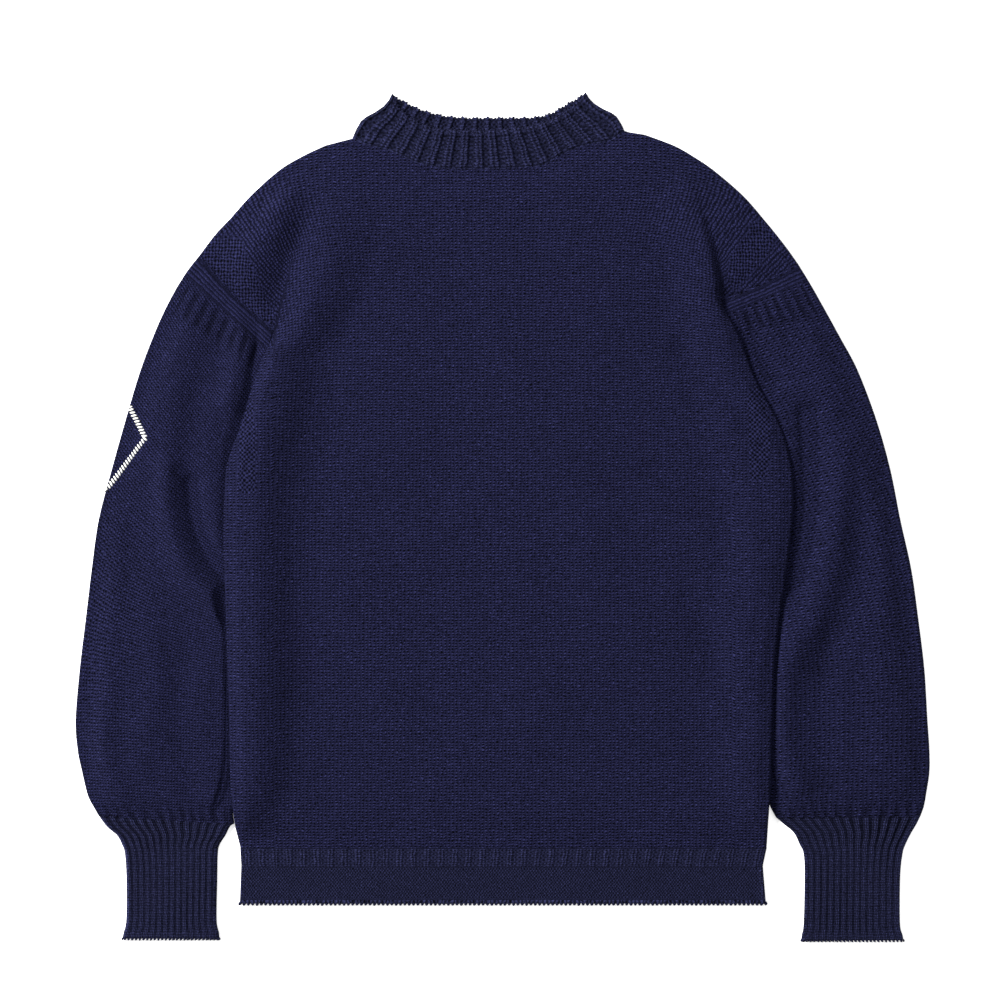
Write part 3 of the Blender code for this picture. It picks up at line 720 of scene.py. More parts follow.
def loop_row(name, paths, spacing, loop, slant, turn_range, seed, material):
    """Loops of yarn set along paths, made by Geometry Nodes and turned into one plain mesh."""
    tree = bpy.data.node_groups.new(name + "_loops", "GeometryNodeTree")
    face = tree.interface
    face.new_socket("Path", in_out="INPUT", socket_type="NodeSocketGeometry")
    settings = {}
    for label, kind, value in (
        ("Spacing", "Float", spacing * MM), ("Loop size", "Vector", [size * MM for size in loop]),
        ("Slant", "Float", slant), ("Turn range", "Float", turn_range),
        ("Seed", "Int", seed), ("Yarn", "Material", material),
    ):
        socket = face.new_socket(label, in_out="INPUT", socket_type="NodeSocket" + kind)
        settings[socket.identifier] = value
    face.new_socket("Loops", in_out="OUTPUT", socket_type="NodeSocketGeometry")
    given = add(tree, "NodeGroupInput").outputs
    way = add(tree, "GeometryNodeMeshToCurve", {"Mesh": given["Path"]}).outputs["Curve"]
    spaced = {"Curve": way, "Length": given["Spacing"]}
    spots = add(tree, "GeometryNodeResampleCurve", spaced, mode="LENGTH")
    bead = add(tree, "GeometryNodeMeshUVSphere", {"Segments": 8, "Rings": 5, "Radius": 0.5}).outputs["Mesh"]
    sized = add(tree, "GeometryNodeTransform", {"Geometry": bead, "Scale": given["Loop size"]})
    tangent = add(tree, "GeometryNodeInputTangent").outputs["Tangent"]
    along = add(tree, "FunctionNodeAlignRotationToVector", {"Vector": tangent}, axis="X")
    placed = add(tree, "GeometryNodeInstanceOnPoints", {
        "Points": spots.outputs["Curve"], "Instance": sized.outputs["Geometry"],
        "Rotation": along.outputs["Rotation"],
    })
    uneven = add(tree, "FunctionNodeRandomValue", {"Seed": given["Seed"]}, data_type="FLOAT").outputs[1]
    angle = maths(tree, "MULTIPLY_ADD", uneven, given["Turn range"], given["Slant"])
    twist = add(tree, "ShaderNodeCombineXYZ", {"Z": angle}).outputs["Vector"]
    twisted = add(tree, "GeometryNodeRotateInstances", {"Instances": placed.outputs[0], "Rotation": twist})
    solid = add(tree, "GeometryNodeRealizeInstances", {"Geometry": twisted.outputs[0]})
    painted = {"Geometry": solid.outputs[0], "Material": given["Yarn"]}
    add(tree, "NodeGroupOutput", {"Loops": add(tree, "GeometryNodeSetMaterial", painted).outputs[0]})

    points = []
    edges = []
    for path in paths:
        first = len(points)
        points += (np.asarray(path) * MM).tolist()
        edges += [(i, i + 1) for i in range(first, len(points) - 1)]
    line = bpy.data.meshes.new(name + "_path")
    line.from_pydata(points, edges, [])
    carrier = put(name + "_carrier", line)
    modifier = carrier.modifiers.new("loops", "NODES")
    modifier.node_group = tree
    for identifier, value in settings.items():
        modifier[identifier] = value
    ready = carrier.evaluated_get(bpy.context.evaluated_depsgraph_get())
    mesh = bpy.data.meshes.new_from_object(ready)
    mesh.shade_smooth()
    piece = put(name, mesh)
    carrier.modifiers.clear()
    bpy.data.objects.remove(carrier, do_unlink=True)
    return piece


def yarn(name, colour, ply_shade):
    """Plied yarn: fine slanted plies in relief on Object coordinates, with painted shade darkening the
    colour between the plies.
    """
    material = bpy.data.materials.new(name)
    material.use_nodes = True
    tree = material.node_tree
    where = add(tree, "ShaderNodeTexCoord").outputs["Object"]
    size = {"Vector": where, "Scale": 260.0, "Distortion": 2.5}
    plies = add(tree, "ShaderNodeTexWave", size, bands_direction="DIAGONAL").outputs["Fac"]
    # The ramp's dark end is painted shade between the plies, as dark as the last argument sets it
    wool(tree, plies, [c * ply_shade for c in colour], colour, plies, 0.5, 0.3)
    return material


# First colour: painted shade in the hollows between loops and the rib grooves; second: the wool's light
# colour on the loop tops
rib_wool = worsted("ribbed_worsted", (0.0003, 0.0003, 0.0010), (0.0396, 0.0434, 0.1236))
edge_yarn = yarn("edge_yarn", (0.0125, 0.0135, 0.036), 0.35)

welt_y = np.linspace(RIB_BAND_TOP, WELT_EDGE, WELT_ROWS)[:, None]
right_x = np.interp(welt_y, WELT_SIDES_Y, WELT_RIGHT_X)
left_x = np.interp(welt_y, WELT_SIDES_Y, WELT_LEFT_X)
across = np.linspace(0.0, 1.0, WELT_COLUMNS)[None, :]
x = right_x + across * (left_x - right_x)
y = np.broadcast_to(welt_y, x.shape)
side_away = np.minimum(x - right_x, left_x - x)
in_ribs = fade(y, *RIB_BAND_FOOT) * fade(y, *RIB_BAND_HEAD)
in_chain = smooth((WELT_EDGE + CHAIN_HIGH - y) / CHAIN_FADE)
in_side_chain = smooth((SIDE_CHAIN_WIDE - side_away) / CHAIN_FADE)
in_moss = (1.0 - in_ribs) * (1.0 - np.maximum(in_chain, in_side_chain))
crest = rib_crest(WELT_RIBS * across, WELT_RIB_SHARE)
grooves = in_ribs * (1.0 - crest)
wales = (x - right_x) / WELT_WALE
rows = (y - WELT_EDGE) / WELT_ROW
chequer = np.sin(MOSS_TIGHTER[0] * np.pi * wales) * np.sin(MOSS_TIGHTER[1] * np.pi * rows)
chain_tooth = 0.5 + 0.5 * np.cos(2.0 * np.pi * x / CHAIN_PITCH)
side_tooth = 0.5 + 0.5 * np.cos(2.0 * np.pi * y / CHAIN_PITCH)
relief = RIB_RELIEF * crest * in_ribs + MOSS_RELIEF * chequer * in_moss
relief += CHAIN_RISE * in_chain * (0.5 + 0.5 * chain_tooth)
relief += 0.8 * CHAIN_RISE * in_side_chain * (0.4 + 0.6 * side_tooth)
laid_wales = np.where(in_chain > 0.5, x / CHAIN_PITCH, wales)
laid_wales = np.where(in_ribs > 0.5, 4.0 * WELT_RIBS * across, laid_wales)
thickness = WALL * (0.3 + 0.7 * rounded(np.minimum(side_away, y - WELT_EDGE), WELT_EDGE_ROUND))
edge_y = y - 0.5 * chain_tooth * smooth((WELT_EDGE + 2.0 - y) / 2.0)
for node, level, in_front, under in (
    ("back_welt", 0.0, False, []), ("front_welt", WALL + SEAM_GAP, True, ["back_welt_knitting"]),
):
    if in_front:
        outer_z = level + thickness + relief
        inner_z = np.full(x.shape, level)
    else:
        outer_z = level + WALL - thickness + 0.5 * RIB_RELIEF * grooves
        inner_z = np.full(x.shape, level + WALL)
    welt = knitting(
        node + "_knitting",
        np.stack((x, edge_y, outer_z), axis=-1),
        np.stack((x, edge_y, inner_z), axis=-1),
        (laid_wales, rows * (1.0 - in_chain), 0.7),
        # Third number: painted shade in the rib grooves, and a darker colour over the whole moss field
        (0.8 * in_moss + 0.5 * grooves, 0.0, 0.25 * (grooves + in_moss)),
        INNER_EVERY,
    )
    welt.data.materials.append(rib_wool)
    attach(welt, "root")
    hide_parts(node)
    chain = np.stack((x[-1], edge_y[-1] - 0.1, np.full(WELT_COLUMNS, level + CHAIN_LEVEL)), axis=-1)
    cast_on = loop_row(node + "_cast_on", [chain[::CHAIN_EVERY]], *CHAIN_LOOPS, 3, edge_yarn)
    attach(cast_on, "root")

# Sleeves
# Each sleeve is knitted down from the armhole: garter ridges, a few rows plain, short ribs, then plain.
# It lies as a flattened tube whose inner edge is tucked under the body.
SEAM_OFFSET = -0.15
SLEEVE_ROWS = 261
SLEEVE_TOP_COLUMNS = 100
FOLD_COLUMNS = 5
UNDER_COLUMNS = 20
MIDDLE = 16
CROWN_WIDTH = 26.0
# The upper half is tucked under the body from the inner edge on, less so near the armhole's corner
TUCK_START = 10.0
TUCK_REACH = 17.0
TUCK_REACH_LOW = 6.0
TUCK_WIDTH = 18.0
NEAR_CORNER = (70.0, 120.0)
CORNER_LESS = 0.7
LOW_DOWN = (-70.0, -120.0)
UNDER_BODY = 2.1
VALLEY_WIDTH = 18.0
VALLEY_HEIGHT = 12.0
# Beside the corner the inner fold stays full, so it closes the gap under the body's fold
FULL_FOLD = 2.6
FULL_FOLD_Y = (60.0, 110.0)
FULL_FOLD_REACH = (4.0, 26.0)
FULL_FOLD_START = 14.0
SLEEVE_SLACK = 2.4
SLEEVE_FOLDING = 1.6
TOP_FADE = 30.0
CUFF_FADE = 24.0
HEAD_RIBS = 7
HEAD_RIB_SPAN = (0.06, 0.82)
HEAD_RIB_DEPTH = {-1: (20.0, 24.0, 40.0, 52.0), 1: (15.0, 19.0, 34.0, 46.0)}
HEAD_RIB_SHARE = 0.72
HEAD_RIB_RELIEF = 0.9
GARTER_RIDGES = {-1: (2.0, 19.0), 1: (2.0, 14.0)}
GARTER_FADE = 1.5
GARTER_PITCH = 3.1
GARTER_RELIEF = 0.3
GATHER_HEIGHT = 20.0
GATHER_RELIEF = 1.3
GATHERS = 11
GATHER_SHARE = 0.55
EDGE_FADE = 6.0
LAY_SPREAD = 0.4

# Outer edge of each sleeve from the armhole seam down, with the slack between its layers
RIGHT_OUTER_EDGE = (
    (-278.5, 241.5, 0), (-291.2, 225, 0.6), (-304.1, 203.8, 0.9), (-318, 175, 1.6),
    (-333.5, 134.8, 2), (-347.3, 88.8, 2.2), (-360.2, 42.8, 2.2), (-372.1, -3.2, 2.2),
    (-378.6, -49.2, 2.4), (-384.1, -95.2, 2.4), (-389.6, -141.2, 2.6), (-393.3, -187.2, 3),
    (-391.5, -214.8, 3.2), (-387.8, -233.2, 3.2), (-382.3, -256.2, 2.4), (-377, -267, 1.4),
    (-372.1, -275.5, 0.2),
)
LEFT_OUTER_EDGE = (
    (271.9, 233.2, 0), (284, 213.5, 0.6), (297, 190.5, 0.9), (311, 165, 1.6),
    (327.1, 134.8, 2), (344.5, 88.8, 2.2), (357.4, 42.8, 2.2), (366.6, -3.2, 2.2),
    (376.7, -49.2, 2.4), (383.2, -95.2, 2.4), (388.7, -141.2, 2.6), (391.5, -187.2, 3),
    (393.3, -214.8, 3.2), (393.3, -235.1, 3.2), (390.5, -254.4, 2.4), (388.2, -267, 1.4),
    (385, -276.1, 0.2),
)

# Folds of the sleeves: half width, height, then points along the fold
RIGHT_SLEEVE_FOLDS = (
    (16, 1.5, ((-284, 170), (-300, 116), (-308, 70))),
    (12, 4.4, ((-310, 44), (-306, -6), (-288, -50), (-258, -84))),
    (9, -4.2, ((-284, 30), (-279, -6), (-266, -36), (-244, -64))),
    (13, -1.2, ((-280, 116), (-286, 80), (-288, 50))),
    (12, 3.6, ((-240, 186), (-239, 160), (-244, 130), (-250, 106))),
    (18, -1.2, ((-344, 40), (-346, -20), (-334, -90))),
    (15, 1.2, ((-330, -80), (-320, -150), (-332, -226))),
    (12, -1.1, ((-290, -130), (-296, -190), (-286, -250))),
    (11, 1.1, ((-362, -150), (-364, -210), (-350, -258))),
)
LEFT_SLEEVE_FOLDS = (
    (16, 3.4, ((312, 60), (311, 10), (303, -40), (292, -76), (272, -125))),
    (11, -5.2, ((282, 92), (284, 60), (284, 12), (279, -25), (268, -62))),
    (10, -2.6, ((226, 186), (234, 158), (250, 128))),
    (14, 1.2, ((286, 150), (304, 100))),
    (16, -1.2, ((326, 0), (326, -50), (308, -110))),
    (14, 1.2, ((340, 60), (350, 0), (350, -60))),
    (14, 1.2, ((350, -80), (352, -150), (346, -230))),
    (12, -1.1, ((300, -110), (292, -180), (300, -250))),
    (12, 2.6, ((264, -112), (260, -160), (260, -210), (270, -245))),
)
SLEEVE_WAVES = (
    (0.40, 0.047, 0.021, 1.1), (0.30, -0.026, 0.052, 3), (0.22, 0.083, -0.034, 0.3), (0.16, 0.06, 0.09, 5),
)
# Lean of the wales down each sleeve: y, then degrees from upright towards the garment's right
RIGHT_LEAN = ((-150, 0), (-60, -24), (0, -36), (150, -41), (205, -45))
LEFT_LEAN = ((-170, 0), (-60, 14), (60, 25), (150, 32), (205, 27))


def at_share(paths, share):
    """Plan points at shares along paths, each a row of evenly shared points."""
    place = np.clip(share, 0.0, 1.0) * (paths.shape[1] - 1)
    before = np.minimum(place.astype(int), paths.shape[1] - 2)
    part = (place - before)[..., None]
    row = np.arange(len(paths))[:, None]
    return (1.0 - part) * paths[row, before] + part * paths[row, before + 1]


def ring_columns(top_count, fold_count, under_count):
    """Columns round a flattened tube: share across it, how far out round a fold, and how high."""
    arc = np.radians(np.linspace(90.0, -90.0, fold_count + 2)[1:-1])
    share = np.concatenate((
        np.linspace(0.0, 1.0, top_count), np.ones(fold_count),
        np.linspace(1.0, 0.0, under_count), np.zeros(fold_count),
    ))
    out = np.concatenate((np.zeros(top_count), np.cos(arc), np.zeros(under_count), -np.cos(arc)))
    up = np.concatenate((np.ones(top_count), np.sin(arc), -np.ones(under_count), -np.sin(arc)))
    return share, out, up


def flat_tube(over, under, columns, height, low, depth):
    """Skin of a flattened tube at a depth inside its outer skin.

    over and under are the plan paths of its upper and lower halves. height is added to the upper half,
    low to the lower one.
    """
    share, out, up = columns
    width = np.linalg.norm(over[:, -1] - over[:, 0], axis=1)[:, None]
    radius = 0.5 * LAYERS - depth
    inset = radius + depth
    place = (inset + share * (width - 2.0 * inset) + out * radius) / width
    plan = np.where((up >= 0.0)[None, :, None], at_share(over, place), at_share(under, place))
    z = 0.5 * LAYERS + up * radius + np.where(up > 0.99, height, 0.0) + np.where(up < -0.99, low, 0.0)
    return np.concatenate((plan, (z + 0.0 * width)[..., None]), axis=-1)


def seam_path(side, shares):
    """Plan points along an armhole seam from its outer end to the armhole corner."""
    column = 0 if side < 0 else 2
    ends = np.array([BODY_SECTIONS[i][column:column + 2] for i in (-1, -2, ARMHOLE_CORNER)])
    place = run(ends) / run(ends)[-1]
    way = ends[2] - ends[0]
    off = np.array((side * abs(way[1]), -abs(way[0]))) / np.linalg.norm(way) * SEAM_OFFSET
    return np.stack([np.interp(shares, place, column) for column in ends.T], axis=-1) + off


sleeve_columns = ring_columns(SLEEVE_TOP_COLUMNS, FOLD_COLUMNS, UNDER_COLUMNS)
path_shares = np.linspace(0.0, 1.0, 2 * MIDDLE + 1)
for node, side, outer_edge, inner_edge, folds, lean_table in (
    ("sleeve_right", -1, RIGHT_OUTER_EDGE, RIGHT_INNER_EDGE, RIGHT_SLEEVE_FOLDS, RIGHT_LEAN),
    ("sleeve_left", 1, LEFT_OUTER_EDGE, LEFT_INNER_EDGE, LEFT_SLEEVE_FOLDS, LEFT_LEAN),
):
    sections = []
    for (*outer_end, slack), inner_end in zip(outer_edge, inner_edge):
        straight = np.outer(1.0 - path_shares, outer_end) + np.outer(path_shares, inner_end)
        sections.append(np.append(straight.ravel(), slack))
    sections[0][:-1] = seam_path(side, path_shares).ravel()
    fine = even(curve(sections, 8), SLEEVE_ROWS)
    paths = fine[:, :-1].reshape(SLEEVE_ROWS, -1, 2)
    slack = fine[:, -1:]
    width = np.linalg.norm(paths[:, -1] - paths[:, 0], axis=1)[:, None]
    share, _, up = sleeve_columns
    plan = at_share(paths, share + 0.0 * width)
    x = plan[..., 0]
    y = plan[..., 1]
    from_outer = share * width
    from_inner = (1.0 - share) * width
    down = run(paths[:, MIDDLE])[:, None]
    length = down[-1, 0]

    # Slack and soft folds of the upper half, which is flat where the body lies on it
    low_down = fade(y, *LOW_DOWN)
    corner = 1.0 - CORNER_LESS * fade(y, *NEAR_CORNER)
    tucked = smooth((from_inner - TUCK_START * corner) / (TUCK_REACH - TUCK_REACH_LOW * low_down))
    away_from_ends = smooth(down / TOP_FADE) * smooth((length - down) / CUFF_FADE)
    soft = SLEEVE_FOLDING * fold_height(x, y, folds) + waves(x, y, SLEEVE_WAVES)
    height = smooth(from_outer / CROWN_WIDTH) * tucked * (slack + (SLEEVE_SLACK + soft) * away_from_ends)
    height = 0.5 * (height + np.sqrt(height * height + 1.2)) - 0.5
    valley = smooth((from_inner - TUCK_WIDTH * corner) / (VALLEY_WIDTH * (1.0 - 0.5 * low_down)))
    height = np.minimum(height, UNDER_BODY + VALLEY_HEIGHT * valley)
    full = FULL_FOLD * fade(y, *FULL_FOLD_Y) * smooth(down / FULL_FOLD_START)
    height = np.maximum(height, full * (1.0 - fade(from_inner, *FULL_FOLD_REACH)))

    # Ridges and short ribs at the head, and gathers above the cuff
    start, reach, fall, end = HEAD_RIB_DEPTH[side]
    in_head_ribs = fade(down, start, reach) * fade(down, end, fall)
    rib_phase = HEAD_RIBS * (share - HEAD_RIB_SPAN[0]) / HEAD_RIB_SPAN[1]
    in_span = (rib_phase > 0.0) & (rib_phase < HEAD_RIBS) & (up > 0.99)
    crest = rib_crest(rib_phase, HEAD_RIB_SHARE)
    first, last = GARTER_RIDGES[side]
    in_garter = smooth((down - first) / GARTER_FADE) * smooth((last - down) / GARTER_FADE)
    garter_wave = 0.5 + 0.5 * np.cos(2.0 * np.pi * down / GARTER_PITCH)
    gathered = smooth((GATHER_HEIGHT - (length - down)) / GATHER_HEIGHT)
    gather_wave = rib_crest(GATHERS * share + 0.3 * np.sin(9.0 * share), GATHER_SHARE)
    height = height + smooth(from_outer / EDGE_FADE) * smooth(from_inner / EDGE_FADE) * (
        HEAD_RIB_RELIEF * np.where(in_span, in_head_ribs * crest, 0.0)
        + GARTER_RELIEF * in_garter * garter_wave
        + GATHER_RELIEF * gathered * gather_wave
    )
    height = height - SEAM_DIP * np.exp(-((down / SEAM_DIP_WIDTH) ** 2))
    # The groove share is painted shade: it darkens the colour in the grooves of the head ribs and of the
    # gathers
    groove = np.where(in_span, 0.62 * in_head_ribs * (1.0 - crest), 0.0)
    groove = groove + 0.55 * gathered * (1.0 - gather_wave)

    # Stitches are laid on the upper half, and each lower column takes those of its twin above
    lean_y, degrees = np.array(lean_table).T
    half = SLEEVE_TOP_COLUMNS + FOLD_COLUMNS
    lean = np.radians(np.interp(y[:, :half], lean_y, degrees))
    wales, rows = lay_stitches(x[:, :half] + LAY_SPREAD * np.arange(half), y[:, :half], lean)
    twins = np.abs(share[:SLEEVE_TOP_COLUMNS, None] - share[half:]).argmin(axis=0)
    wales = np.hstack((wales, 2.0 * wales[:, -1:] - wales[:, twins]))
    rows = np.hstack((rows, rows[:, twins]))
    rows = rows + in_garter * (2.0 * down / GARTER_PITCH * ROW - rows)
    sleeve = knitting(
        node + "_knitting",
        flat_tube(paths, paths, sleeve_columns, height, 0.0, 0.0),
        flat_tube(paths, paths, sleeve_columns, height, 0.0, WALL),
        (wales / WALE, rows / ROW, 0.0),
        (0.0, 0.7 * in_garter, groove * (up > 0.99)),
        INNER_EVERY,
        closed=True,
    )
    sleeve.data.materials.append(body_wool)
    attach(sleeve, "root")
    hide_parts(node)

# Cuffs
# Long cuffs in two by two rib, knitted on from the sleeves, which gather into them, with a flared edge.
# A rib turns round each fold, and the ribs go on underneath.
CUFF_ROWS = 126
CUFF_TOP_COLUMNS = 131
CUFF_UNDER_COLUMNS = 49
CUFF_RIBS = 12
CUFF_RIB_SPAN = (0.045, 0.915)
CUFF_RIB_SHARE = 0.7
CUFF_RELIEF = 1.15
CUFF_LIP = 0.9
CUFF_ROW = 2.4
CUFF_EDGE_ROUND = 2.4
# Loops along the rims of the cuffs and the collar: lowest level, then spacing, size and slant
RIM_LEVEL = 1.15
RIM_LOOPS = (3.5, (3.2, 2.2, 2.0), 0.7)

# Cuff sections below the sleeve's end: outer x, inner x, y
RIGHT_CUFF = (
    (-364.5, -251, -285.6), (-355, -255.3, -293.9), (-350.5, -260.5, -302.2), (-347.8, -262.2, -311),
    (-346.4, -262.7, -335), (-346.6, -263.3, -371), (-349, -261.2, -383), (-350.2, -260.6, -388.6),
)
LEFT_CUFF = (
    (381, 260, -284), (376.5, 268.5, -291.5), (371.2, 273.8, -302.2), (368.5, 277.4, -311),
    (366.4, 278.3, -332), (366.2, 277.4, -374), (368.6, 275.6, -385.5), (369.6, 275.2, -390.2),
)

cuff_columns = ring_columns(CUFF_TOP_COLUMNS, FOLD_COLUMNS, CUFF_UNDER_COLUMNS)
for node, outer_edge, inner_edge, table in (
    ("cuff_right", RIGHT_OUTER_EDGE, RIGHT_INNER_EDGE, RIGHT_CUFF),
    ("cuff_left", LEFT_OUTER_EDGE, LEFT_INNER_EDGE, LEFT_CUFF),
):
    outer_x, outer_y, _ = outer_edge[-1]
    inner_x, inner_y = inner_edge[-1]
    sections = [(outer_x, outer_y - SEAM_OFFSET, inner_x, inner_y - SEAM_OFFSET)]
    sections += [(cut_outer, cut_y, cut_inner, cut_y) for cut_outer, cut_inner, cut_y in table]
    fine = even(curve(sections, 8), CUFF_ROWS)
    part = path_shares[:, None]
    paths = (1.0 - part) * fine[:, None, :2] + part * fine[:, None, 2:]
    share, _, up = cuff_columns
    down = run(paths[:, MIDDLE])[:, None]
    length = down[-1, 0]
    phase = CUFF_RIBS * (share - CUFF_RIB_SPAN[0]) / (CUFF_RIB_SPAN[1] - CUFF_RIB_SPAN[0])
    crest = rib_crest(phase, CUFF_RIB_SHARE)
    ribbed = 1.35 - 0.5 * smooth((down - 10.0) / 26.0)
    ribbed = ribbed * (1.0 - 0.55 * smooth((down - length + 9.0) / 7.0))
    stretched = 0.8 + 0.2 * np.sin(0.05 * down + 5.0 * share)
    edge = rounded(length - down, CUFF_EDGE_ROUND)
    lip = CUFF_LIP * np.exp(-(((length - down - 3.0) / 2.6) ** 2))
    groove = (1.0 - crest) * ribbed
    height = CUFF_RELIEF * ribbed * stretched * crest + lip - (1.0 - edge)
    outer = flat_tube(paths, paths, cuff_columns, height, 0.6 * groove + 0.9 * (1.0 - edge), 0.0)
    cuff = knitting(
        node + "_knitting",
        outer,
        flat_tube(paths, paths, cuff_columns, 0.0, 0.0, WALL),
        (4.0 * phase, -down / CUFF_ROW, 0.8),
        # Painted shade darkens the colour in the rib grooves
        (0.0, 0.0, 0.55 * groove),
        INNER_EVERY,
        closed=True,
    )
    cuff.data.materials.append(rib_wool)
    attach(cuff, "root")
    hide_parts(node)
    rim = np.vstack((outer[-1], outer[-1, :1])) - np.array((0.0, 0.4, 0.0))
    rim[:, 2] = np.maximum(rim[:, 2], RIM_LEVEL)
    cast_on = loop_row(node + "_cast_on", [rim], *RIM_LOOPS, 0.6, 7, edge_yarn)
    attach(cast_on, "root")

# Collar
# A band of two by two rib picked up round the neck, with its cast-off edge at the top.
# Its front half stands a little proud of the back half, whose inside shows above it.
COLLAR_RIBS = 16
COLLAR_RIB_SPAN = (0.015, 0.965)
# Bulge of the collar's two folds: level from the seam to the top edge, then how far out
COLLAR_BULGE = ((0, 0), (0.2, 4), (0.4, 6.8), (0.5, 5.6), (0.6, 1.6), (0.74, -1.6), (0.9, -1.2), (1, 0))
COLLAR_STAND = 2.8
COLLAR_HEIGHT = 36.0
COLLAR_RIB_SHARE = 0.85
COLLAR_WALES = 3.3
COLLAR_RELIEF = 1.5
COLLAR_LIP = 0.7
COLLAR_FOOT = 0.3
RIB_ENDS_FROM = 0.86
RIM_LEFT_OUT = 4
COLLAR_POINTS = 121
COLLAR_ROWS = 49
COLLAR_TOP_COLUMNS = 340
COLLAR_UNDER_COLUMNS = 300
COLLAR_EDGE_ROUND = 2.4
# Top edge of the collar over each point of the neck seam: x, y in front, y behind
COLLAR_TOP = (
    (-101.7, 388.5, 388.7), (-98.0, 379.5, 385.5), (-92.5, 372.1, 382.7), (-85.1, 366.6, 378.6),
    (-72.2, 359.3, 373.1), (-53.8, 354.7, 368.5), (-32.7, 353.7, 366.6), (-11.5, 353.7, 366.6),
    (8.7, 355.6, 366.6), (29.0, 358.3, 367.1), (44.6, 363.9, 370.8), (56.6, 371.2, 377.7),
    (64.9, 377.7, 382.3), (71.3, 384.1, 386.0), (76.8, 389.6, 389.9),
)


def collar_paths(neck, column):
    """Plan paths of half of the collar, one for each level from the neck seam to the top edge."""
    base = even(curve(neck, 8), COLLAR_POINTS)
    top = even(curve(np.array(COLLAR_TOP)[:, (0, column)], 8), COLLAR_POINTS)
    outward = np.linspace(-1.0, 1.0, COLLAR_POINTS) ** 9
    paths = []
    for level in np.linspace(0.0, 1.0, COLLAR_ROWS):
        line = base + level * (top - base)
        line[:, 0] += outward * np.interp(level, *zip(*COLLAR_BULGE))
        line[:, 1] += SEAM_OFFSET
        paths.append(line)
    return np.array(paths)


collar_columns = ring_columns(COLLAR_TOP_COLUMNS, FOLD_COLUMNS, COLLAR_UNDER_COLUMNS)
front_paths = collar_paths(NECK_FRONT, 1)
back_paths = collar_paths(NECK_BACK, 2)
share, _, up = collar_columns
level = np.linspace(0.0, 1.0, COLLAR_ROWS)[:, None]
from_seam = level * COLLAR_HEIGHT
from_edge = (1.0 - level) * COLLAR_HEIGHT
phase = COLLAR_RIBS * (share - COLLAR_RIB_SPAN[0]) / (COLLAR_RIB_SPAN[1] - COLLAR_RIB_SPAN[0])
crest = rib_crest(phase, COLLAR_RIB_SHARE)
wales = 2.0 + COLLAR_WALES * (0.5 - np.abs(phase % 2.0 - 1.0))
ribbed = smooth(level / 0.08) * (1.0 - 0.5 * smooth((level - 0.90) / 0.08))
edge = rounded(from_edge, COLLAR_EDGE_ROUND)
lip = COLLAR_LIP * np.exp(-((from_edge - 2.6) / 2.2) ** 2)
foot = COLLAR_FOOT * np.exp(-((from_seam / SEAM_DIP_WIDTH) ** 2))
stand = COLLAR_STAND * smooth(level) * smooth(np.sin(np.pi * share))
height = stand + COLLAR_RELIEF * ribbed * crest + lip - foot - 1.1 * (1.0 - edge)
top_half = slice(0, COLLAR_TOP_COLUMNS)
rib_ends = np.interp(np.linspace(0.0, 1.0, COLLAR_POINTS), share[top_half], crest[top_half])
at_ends = fade(level, RIB_ENDS_FROM, 1.0)
front_paths[..., 1] += 1.4 * rib_ends * at_ends
back_paths[..., 1] += 1.2 * (1.0 - rib_ends) * at_ends
inside_shows = smooth((level - 0.5) / 0.1)
inside_low = (COLLAR_RELIEF * inside_shows * (1.0 - crest) + 0.5) * (up < -0.99) * (0.4 + 0.6 * edge)
# The groove share marks the purl grooves in front and the hollows behind the ribs on the inside of the
# back; it sets moss texture there and painted shade that darkens them
groove = np.where(up < -0.99, crest * inside_shows, (1.0 - crest) * ribbed)
outer = flat_tube(front_paths, back_paths, collar_columns, height, 0.6 * (1.0 - crest) * ribbed, 0.0)
collar = knitting(
    "collar_knitting",
    outer,
    flat_tube(front_paths, back_paths, collar_columns, stand, inside_low, WALL),
    (wales, from_seam / ROW, 0.7),
    (0.7 * groove, 0.0, 0.5 * groove),
    1,
    closed=True,
)
collar.data.materials.append(rib_wool)
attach(collar, "root")
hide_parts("collar")

# The cast-off loops run along the front and the back of the rim, but not round its two folds
rims = []
under_start = COLLAR_TOP_COLUMNS + FOLD_COLUMNS
for first, last in ((0, COLLAR_TOP_COLUMNS), (under_start, under_start + COLLAR_UNDER_COLUMNS)):
    rim = outer[-1, first + RIM_LEFT_OUT:last - RIM_LEFT_OUT].copy()
    rim[:, 2] = np.maximum(rim[:, 2], RIM_LEVEL)
    rims.append(rim)
cast_off = loop_row("collar_cast_off", rims, *RIM_LOOPS, 0.7, 11, edge_yarn)
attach(cast_off, "root")

# Stitched lozenge
# A plain hollow lozenge in off-white wool, whip-stitched through the outer face of the right sleeve.
# Half of it turns round the fold and lies underneath; only the stitches over the sleeve's upper face are
# made.
LOZENGE = ((-349, 112), (-328, 72), (-368, 20))
STITCH_PITCH = 3.0
STITCH_SIZE = (6.0, 2.1, 1.5)
STITCH_SLANT = 1.05
STITCH_LEVEL = 0.25
STITCH_UNEVEN = 0.25

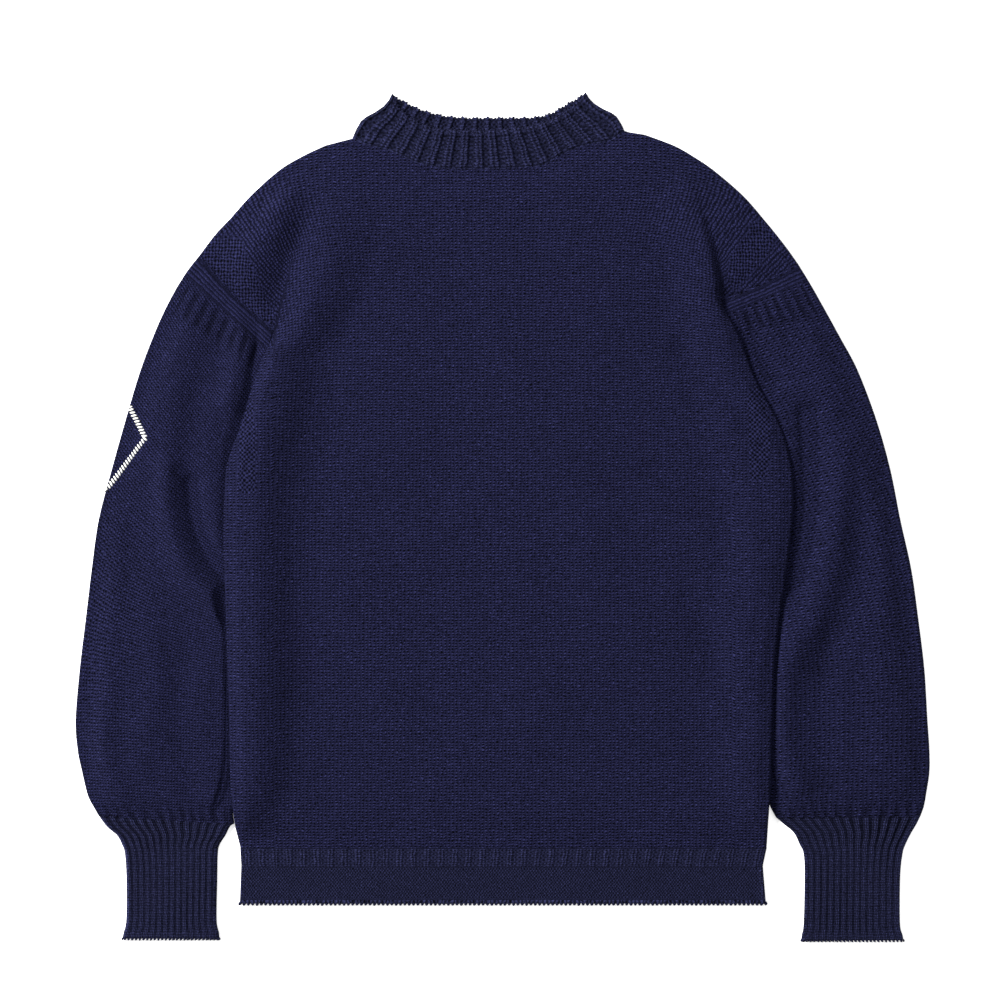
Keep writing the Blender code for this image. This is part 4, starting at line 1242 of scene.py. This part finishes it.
off_white = yarn("off_white_yarn", (0.82, 0.82, 0.78), 0.7)
right_sleeve = bpy.data.objects["sleeve_right_knitting"]
on_cloth = []
for line_x, line_y in even(np.array(LOZENGE), 80):
    hit, spot, _, _ = right_sleeve.ray_cast((line_x * MM, line_y * MM, 0.05), (0.0, 0.0, -1.0))
    if hit:
        on_cloth.append((spot.x / MM, spot.y / MM, spot.z / MM + STITCH_LEVEL))
stitches = (STITCH_PITCH, STITCH_SIZE, STITCH_SLANT, STITCH_UNEVEN)
lozenge = loop_row("stitched_lozenge", [on_cloth], *stitches, 5, off_white)
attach(lozenge, "root")

# Ground and light
# A pale ground that the picture shows as clean white, a wide soft light from the upper left and even fill.
# None of it is part of the sweater.
GROUND_SIZE = 9.0
GROUND_BELOW = 0.15

ground_mesh = bpy.data.meshes.new("ground")
ground = put("ground", ground_mesh)
plane = bmesh.new()
bmesh.ops.create_grid(plane, x_segments=4, y_segments=4, size=0.5 * GROUND_SIZE)
bmesh.ops.translate(plane, verts=plane.verts, vec=(0.0, 0.0, -GROUND_BELOW * MM))
plane.to_mesh(ground_mesh)
plane.free()
ground_paint = bpy.data.materials.new("white_ground")
ground_paint.use_nodes = True
feed(ground_paint.node_tree, ground_paint.node_tree.nodes["Principled BSDF"], {
    "Base Color": (0.93, 0.93, 0.93, 1.0), "Roughness": 1.0, "Specular IOR Level": 0.0,
    "Emission Color": (1.0, 1.0, 1.0, 1.0), "Emission Strength": 0.6,
})
ground_mesh.materials.append(ground_paint)


def soft_light(name, place, size, power):
    """A square soft light that looks at the middle of the garment."""
    data = bpy.data.lights.new(name, "AREA")
    data.size = size
    data.energy = power
    light = put(name, data)
    light.location = place
    light.rotation_mode = "QUATERNION"
    light.rotation_quaternion = (-light.location).to_track_quat("-Z", "Y")


soft_light("window", (-3.8, 1.6, 3.3), 1.6, 690.0)
soft_light("fill", (1.6, 1.2, 3.0), 2.6, 42.0)
sky = bpy.data.worlds.new("even_light")
sky.use_nodes = True
feed(sky.node_tree, sky.node_tree.nodes["Background"], {"Color": (1.0, 1.0, 1.0, 1.0), "Strength": 0.35})
bpy.context.scene.world = sky
bpy.context.scene.view_settings.view_transform = "Standard"
